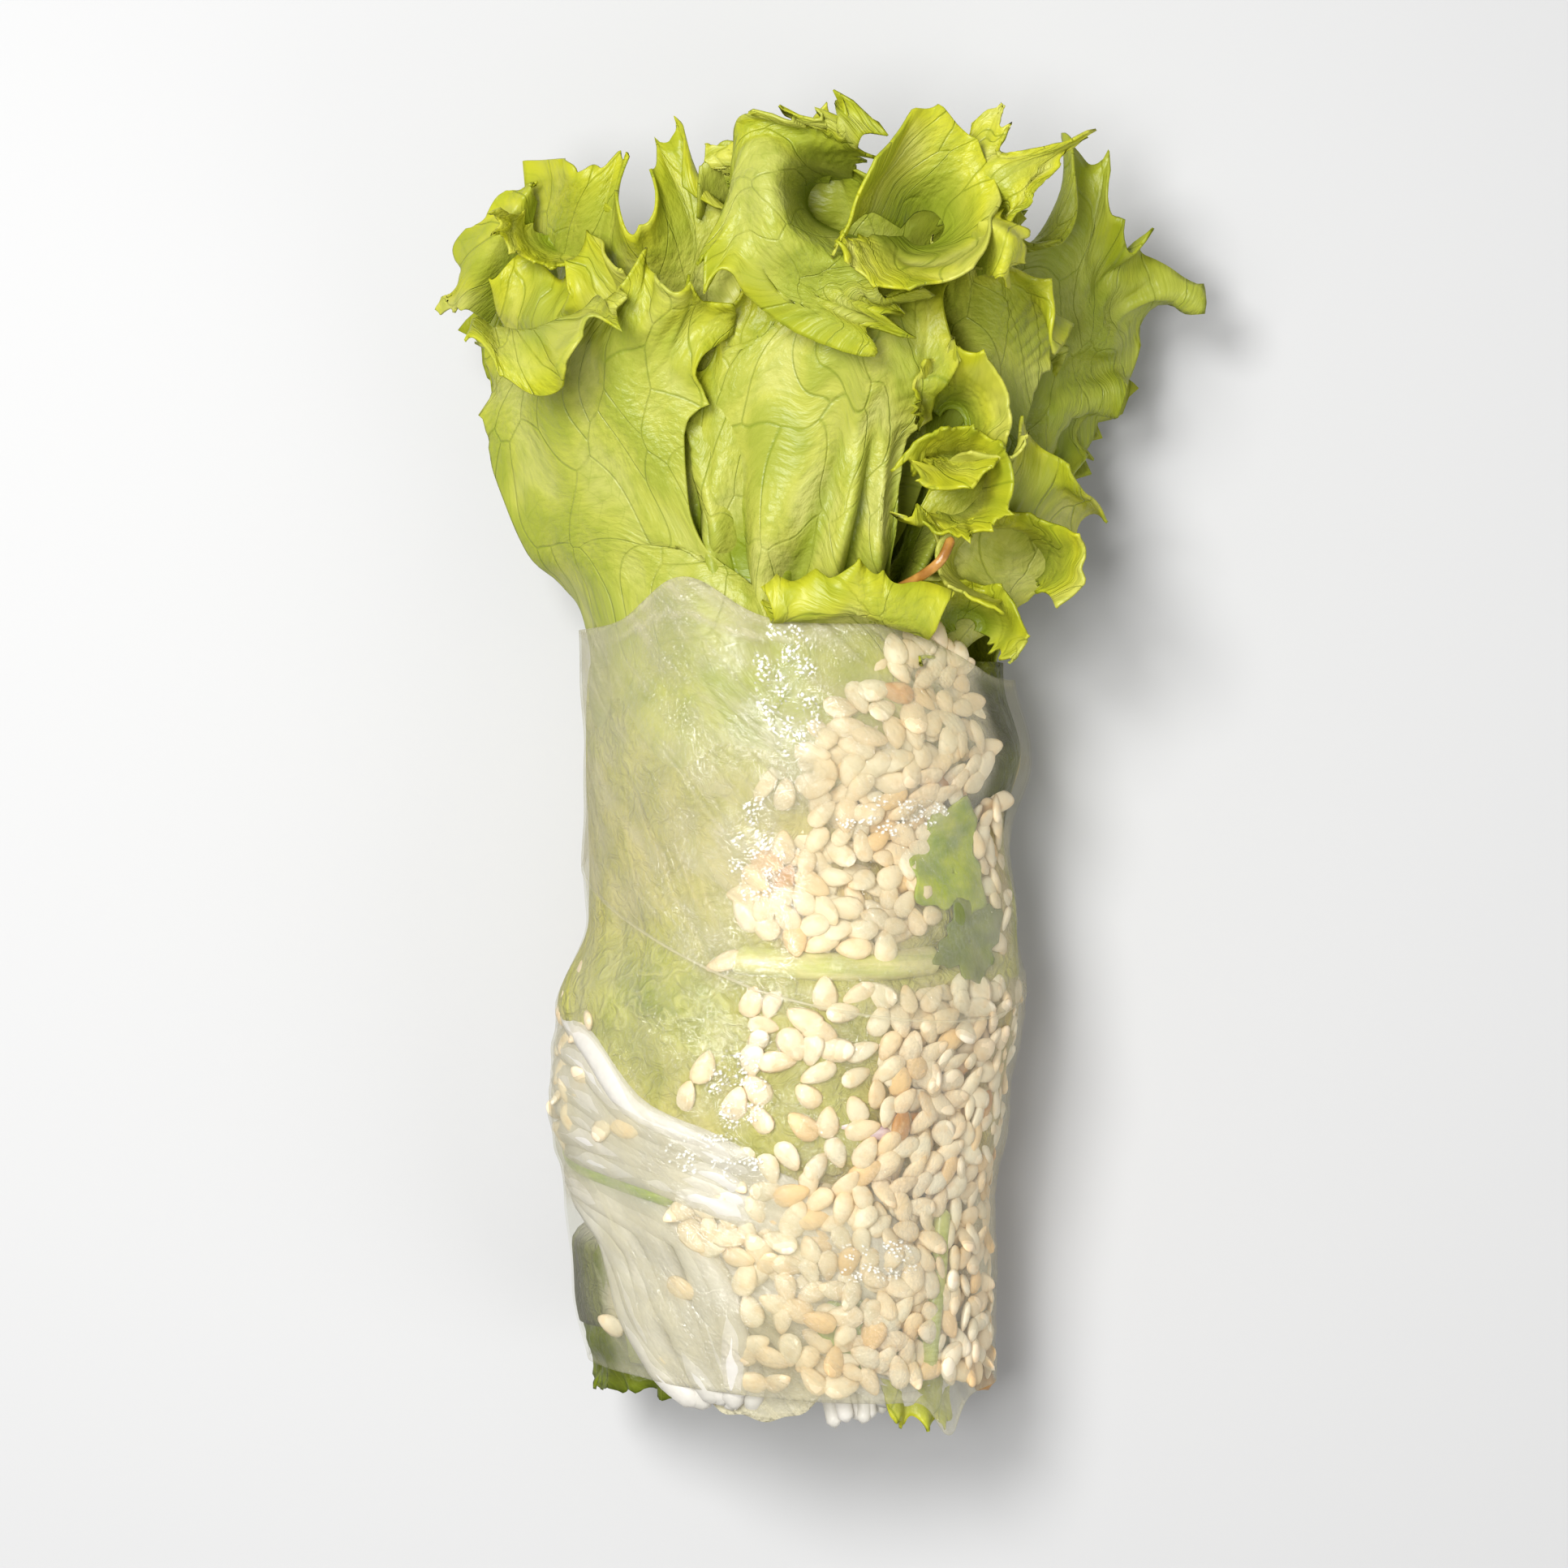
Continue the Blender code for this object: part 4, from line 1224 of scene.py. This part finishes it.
def make_filling(columns=150, rows=100):
    """The body of the filling: a closed form with soft lettuce folds in its surface."""
    a, v = girth_grid(columns, rows)
    share = np.clip(np.minimum(v / CORE_CLOSE, (1 - v) / CORE_CLOSE), 0.001, 1)
    y = CORE_START + (CORE_END - CORE_START) * np.clip((v - CORE_CLOSE) / (1 - 2 * CORE_CLOSE), 0, 1)
    noodles, crowd = under_noodles(a, y), ramp(seed_chance(a, y), 0.1, 0.6)
    depth = filling_depth(a, y, noodles, crowd)
    points, faces = wrap(a, y, depth, share), grid_faces(rows, columns, ring=True)
    film = stacked(a + 0.45 * y, y - 0.45 * a, depth)
    tint = filling_tint(a, y, v, noodles, crowd)
    return new_object("filling_body", points, faces, filling_material(), film=film, tint=tint)


show(make_filling(), "lettuce_pale", "lettuce_filling")


# ---------------------------------------------------------------- the open end

# The leaf rolled up in the open end: how far out it starts and how much farther out each turn lies, as shares
# of the roll's radius, and its turns. Its edge and the ends of the noodles lie near END_Y.
SPIRAL_START, SPIRAL_STEP, SPIRAL_TURNS = 0.20, 0.27, 2.85
END_Y = -32.3
END_NOODLE_RADIUS = 0.86


def spiral_guide(columns=400, rows=10):
    """A lettuce leaf rolled up inside the film, wavy across its width, seen edge on at the open end."""
    turn, v = np.meshgrid(np.linspace(0, SPIRAL_TURNS, columns), np.linspace(0, 1, rows))
    share = SPIRAL_START + SPIRAL_STEP * turn
    a = GIRTH * turn + 9
    y = END_Y + 5.5 * (1 - v) + 0.6 * v * drift(91, turn * 5)
    share = share + 0.022 * drift(92, turn * 7, y / 6) / np.maximum(share, 0.3)
    points = wrap(a, y, 1.3, share)
    rib = stacked(0 * v + 0.5, 0.35 + 0.5 * v, 0.15 + 0.35 * drift(93, turn * 3))
    leaf = stacked(turn * 60, y, 0 * y)
    patch = stacked(0.6 * v, drift(94, turn * 6, v), drift(95, turn * 4, v))
    return points, grid_faces(rows, columns), dict(rib=rib, leaf=leaf, patch=patch)


def end_noodles(seed=96, count=7000, gap=1.54):
    """The ends of noodles that lie along the roll between the turns of lettuce, each a short tube."""
    rng = np.random.default_rng(seed)
    centre, width, height = station(END_Y)
    middle = CENTRE_RISE * height
    placed, pieces = np.empty((0, 2)), []
    for x, z in rng.uniform((-17, -13), (17, 15), (count, 2)):
        share = math.hypot(x / (width / 2 - 1), z / (height - middle - 1 if z > 0 else middle - 1))
        turn = (math.atan2(x, z) - 0.5) / TAU
        between = ((share - SPIRAL_START) / SPIRAL_STEP - turn) % 1
        if share > 0.88 or not 0.18 < between < 0.82:
            continue
        if len(placed) and np.min(np.hypot(*(placed - (x, z)).T)) < gap:
            continue
        placed = np.vstack((placed, (x, z)))
        reach = np.linspace(END_Y + 5, END_Y + rng.uniform(-0.9, 0.9), 7)
        lean = rng.normal(0, 0.06, 2)
        ahead = reach - END_Y
        path = np.column_stack((centre + x + lean[0] * ahead, reach, middle + z + lean[1] * ahead))
        pieces.append(tube(path, END_NOODLE_RADIUS))
    return pieces


points, faces, values = spiral_guide()
spiral = new_object("lettuce_spiral", points, faces, bright, **values)
show(solidify(spiral, SPIRAL_THICKNESS), "lettuce")
points, faces, shares = merged(end_noodles())
show(new_object("noodle_ends", points, faces, noodle, strand=shares, film=points), "noodle")


# ---------------------------------------------------------------- the rice paper


def bulges(a, y, places, height, width):
    """The height of soft bumps, width across, over places on the unrolled film."""
    out = np.zeros_like(a)
    for place in places:
        near = np.abs(a - place[0]) + np.abs(y - place[1]) < 3 * width
        far = (a[near] - place[0]) ** 2 + (y[near] - place[1]) ** 2
        out[near] = np.maximum(out[near], height * np.exp(-far / width**2))
    return out


# Slanting folds in the film: their turn, and their width and length.
FOLD_SLANT, FOLD_SIZE = 0.75, (1.7, 9)


def film_material():
    """Wet rice paper: see-through with a milky body under a fine pebbled gloss.

    Slanting folds, a pale line along the seam and white specks of painted glint make it milkier in places."""
    sh = Shader("rice_paper")
    film = sh.attribute("film")
    haze, sparkle, most = sh.parts("wet")
    tint = srgb(222, 215, 184)
    pebble = sh.noise(film, 2.4, 3, distortion=0.3)
    slanted = {"Vector": film, "Rotation": (0, 0, FOLD_SLANT), "Scale": (*FOLD_SIZE, 1)}
    slanted = sh.add("ShaderNodeMapping", inputs=slanted, vector_type="TEXTURE")
    folds = sh.noise(slanted, 1, 3, distortion=0.6)
    normal = sh.bump(sh.math("MULTIPLY_ADD", folds, 2, pebble), 0.20, 0.9)
    haze = sh.math("MULTIPLY_ADD", haze, sh.fit(folds, 0.42, 0.62, 0, 0.65), haze)
    past_seam = sh.add("ShaderNodeSeparateXYZ", "Z", {"Vector": film})
    edge = sh.fit(sh.math("ABSOLUTE", sh.math("SUBTRACT", past_seam, 0.2)), 0.06, 0.24, 0.42, 0)
    haze = sh.math("MAXIMUM", haze, edge)
    # Painted glints: white dots in clumps, where the sparkle value is high.
    glint_dots = sh.fit(sh.cells(film, 2.8, "F1"), 0.40, 0.24)
    glint_clumps = sh.fit(sh.noise(film, 0.9, 3), 0.44, 0.55)
    painted_glints = sh.times(sh.times(glint_dots, glint_clumps), sh.fit(sparkle, 0.1, 0.35))
    haze = sh.math("MAXIMUM", haze, sh.times(painted_glints, 0.9))
    tint = sh.mix(painted_glints, tint, srgb(255, 255, 250))
    body = sh.add("ShaderNodeBsdfDiffuse", inputs={"Color": tint, "Normal": normal})
    body = sh.both(0.35, body, sh.glow(tint, Normal=normal))
    clear = sh.add("ShaderNodeBsdfTransparent", inputs={"Color": (0.985, 0.985, 0.965)})
    shine = sh.add("ShaderNodeBsdfGlossy", inputs={"Roughness": 0.10, "Normal": normal})
    wet = sh.math("MULTIPLY_ADD", sparkle, 0.9, sh.fit(sh.noise(film, 0.22, 2), 0.40, 0.60, 0.35, 2))
    rim = sh.times(sh.add("ShaderNodeFresnel", inputs={"IOR": 1.38, "Normal": normal}), wet)
    rim = sh.math("MINIMUM", rim, most)
    return sh.output(sh.both(rim, sh.both(haze, clear, body), shine))


rice_paper = film_material()

# Where the film glitters with painted glints and a stronger gloss: centre and radii of each oval on the
# unrolled film.
SPARKLES = (
    ((-1, 29), (2.4, 6.5)), ((-3.4, 14.5), (2.2, 5)), ((-3.2, -6.5), (2.2, 4.2)), ((-5, -12.5), (4, 1.8)),
    ((8, -22), (4, 2)), ((8, 17.5), (5, 1.6)),
)


def film_rise(a, y, over):
    """How far the film stands out: over seeds and strands, along the last turn, and in soft folds."""
    strand_places = np.concatenate([piece[:-2:24, :2] for piece, _ in band[:12] + bunch[:12]])
    over_seeds = bulges(a, y, top_seeds, height=0.26, width=1.15)
    out = np.maximum(over_seeds, bulges(a, y, strand_places, height=0.07, width=0.9))
    out = out + FILM_THICKNESS * over + 0.12 * drift(71, (a + 0.8 * y) / 3, (y - 0.8 * a) / 14)
    return out + 0.15 * drift(72, a / 9, y / 9) - 0.15


def film_haze(a, y, v, over):
    """How milky the film is: cloudy, more so above the seam, over noodles and at its rims."""
    cloud = 0.5 + 0.3 * drift(73, a / 5, y / 6) + 0.2 * drift(74, a / 1.6, y / 2)
    crease = film_top(a) - 1.2 - 2.2 * hump(a, -8.5, 5)
    crease = hump(y - crease, 0, 0.3) * ramp(a, 4, -1) * ramp(a, -24, -14)
    herb = np.maximum(hump(a, 15, 7) * hump(y, 9, 9), hump(y, 4.2, 2.2) * hump(a, 3, 12))
    haze = 0.05 + 0.05 * cloud + (0.04 + 0.08 * cloud) * over * (1 - herb) + 0.20 * crease
    haze = (haze + 0.10 * under_noodles(a, y)) * (1 - 0.85 * shaded(a, y))
    haze = haze + 0.10 * ramp(v, 0.985, 1) + 0.10 * ramp(v, 0.015, 0)
    return np.clip(haze, 0.015, 0.6)


def film_glitter(a, y):
    """How strongly the film glitters: painted glints, and a stronger gloss."""
    sparkle = np.max([oval(a, y, centre, radii) for centre, radii in SPARKLES], axis=0)
    return sparkle * ramp(drift(75, a / 1.5, y / 1.5), -0.8, 0.6)


def make_film(columns=250, rows=134):
    """The film, pressed over the seeds and noodles, with its last turn's edge standing out along the seam."""
    a, v = girth_grid(columns, rows)
    y = film_bottom(a) + (film_top(a) - film_bottom(a)) * v
    over = ramp(y - seam(a), -0.3, 0.3) * ramp(np.abs(a), 50, 40)
    on_floor = ramp(np.abs(a), 40, 48)
    points = wrap(a, y, -film_rise(a, y, over) * (1 - on_floor))
    points[..., 2] = np.maximum(points[..., 2], 0.02)
    faces = grid_faces(rows, columns, ring=True)
    film = stacked(a, y, y - seam(a) + ramp(np.abs(a), 40, 50))
    most_gloss = (0.25 - 0.15 * ramp(np.abs(a), 10, 18)) * (1 - 0.6 * shaded(a, y))
    wet = stacked(film_haze(a, y, v, over), film_glitter(a, y), most_gloss)
    obj = new_object("film", points, faces, rice_paper, film=film, wet=wet)
    return solidify(obj, FILM_THICKNESS, offset=-1)


def inner_turn(columns=40, rows=16):
    """The pale end of the film's inner turn, which reaches a little past the noodles at the open end."""
    s, v = grid(columns, rows)
    a = -2.8 + 6.2 * s
    end = -36.4 + 2.6 * np.abs(s) ** 2.5 + 0.3 * drift(76, s * 3)
    y = -26 + (end + 26) * v
    depth = 2 + 0.35 * drift(77, a / 2, y / 4)
    wet = stacked(0.45 + 0.35 * ramp(v, 0.95, 1), 0 * a, 0.25 + 0 * a)
    film = stacked(a, y, v + 1)
    points, faces = wrap(a, y, depth), grid_faces(rows, columns)
    obj = new_object("film_inner_turn", points, faces, rice_paper, film=film, wet=wet)
    return solidify(obj, FILM_THICKNESS)


show(make_film(), "rice_paper", "wrapper")
show(inner_turn(), "rice_paper")


# ---------------------------------------------------------------- stage


def area_light(name, place, aim, size, power_w):
    data = bpy.data.lights.new(name, "AREA")
    data.shape = "DISK"
    data.size = size * MM
    data.energy = power_w
    obj = bpy.data.objects.new(name, data)
    obj.location = Vector(place) * MM
    obj.rotation_euler = (Vector(aim) * MM - obj.location).to_track_quat("-Z", "Y").to_euler()
    bpy.context.scene.collection.objects.link(obj)


SIDE = 4000
corners = (-SIDE, -SIDE, 0), (SIDE, -SIDE, 0), (SIDE, SIDE, 0), (-SIDE, SIDE, 0)
grey = Shader("floor")
grey = grey.output(grey.principled(srgb(190, 190, 190), 0.9))
floor = new_object("floor", corners, [(0, 1, 2, 3)], grey)
area_light("key", (-125, 130, 370), (0, 20, 10), 140, 1.6)
area_light("top", (-75, 10, 400), (0, 10, 20), 100, 0.7)
area_light("fill", (300, -200, 260), (0, 20, 10), 300, 0.45)

world = bpy.data.worlds.new("studio")
world.use_nodes = True
world.node_tree.nodes["Background"].inputs["Color"].default_value = (1, 1, 1, 1)
world.node_tree.nodes["Background"].inputs["Strength"].default_value = 0.36
bpy.context.scene.world = world
bpy.context.scene.view_settings.view_transform = "Standard"

low, high = CAD_BOX
VIEW_HEIGHT = 1.22 * (high[1] - low[1])
LENS, SENSOR = 90, 36
camera_data = bpy.data.cameras.new("camera")
camera_data.lens = LENS
camera_data.sensor_width = SENSOR
camera = bpy.data.objects.new("camera", camera_data)
aim = Vector(((low[0] + high[0]) / 2, (low[1] + high[1]) / 2, (low[2] + high[2]) / 2))
camera.location = aim + Vector((0, 0, VIEW_HEIGHT * LENS / SENSOR))
bpy.context.scene.collection.objects.link(camera)
bpy.context.scene.camera = camera
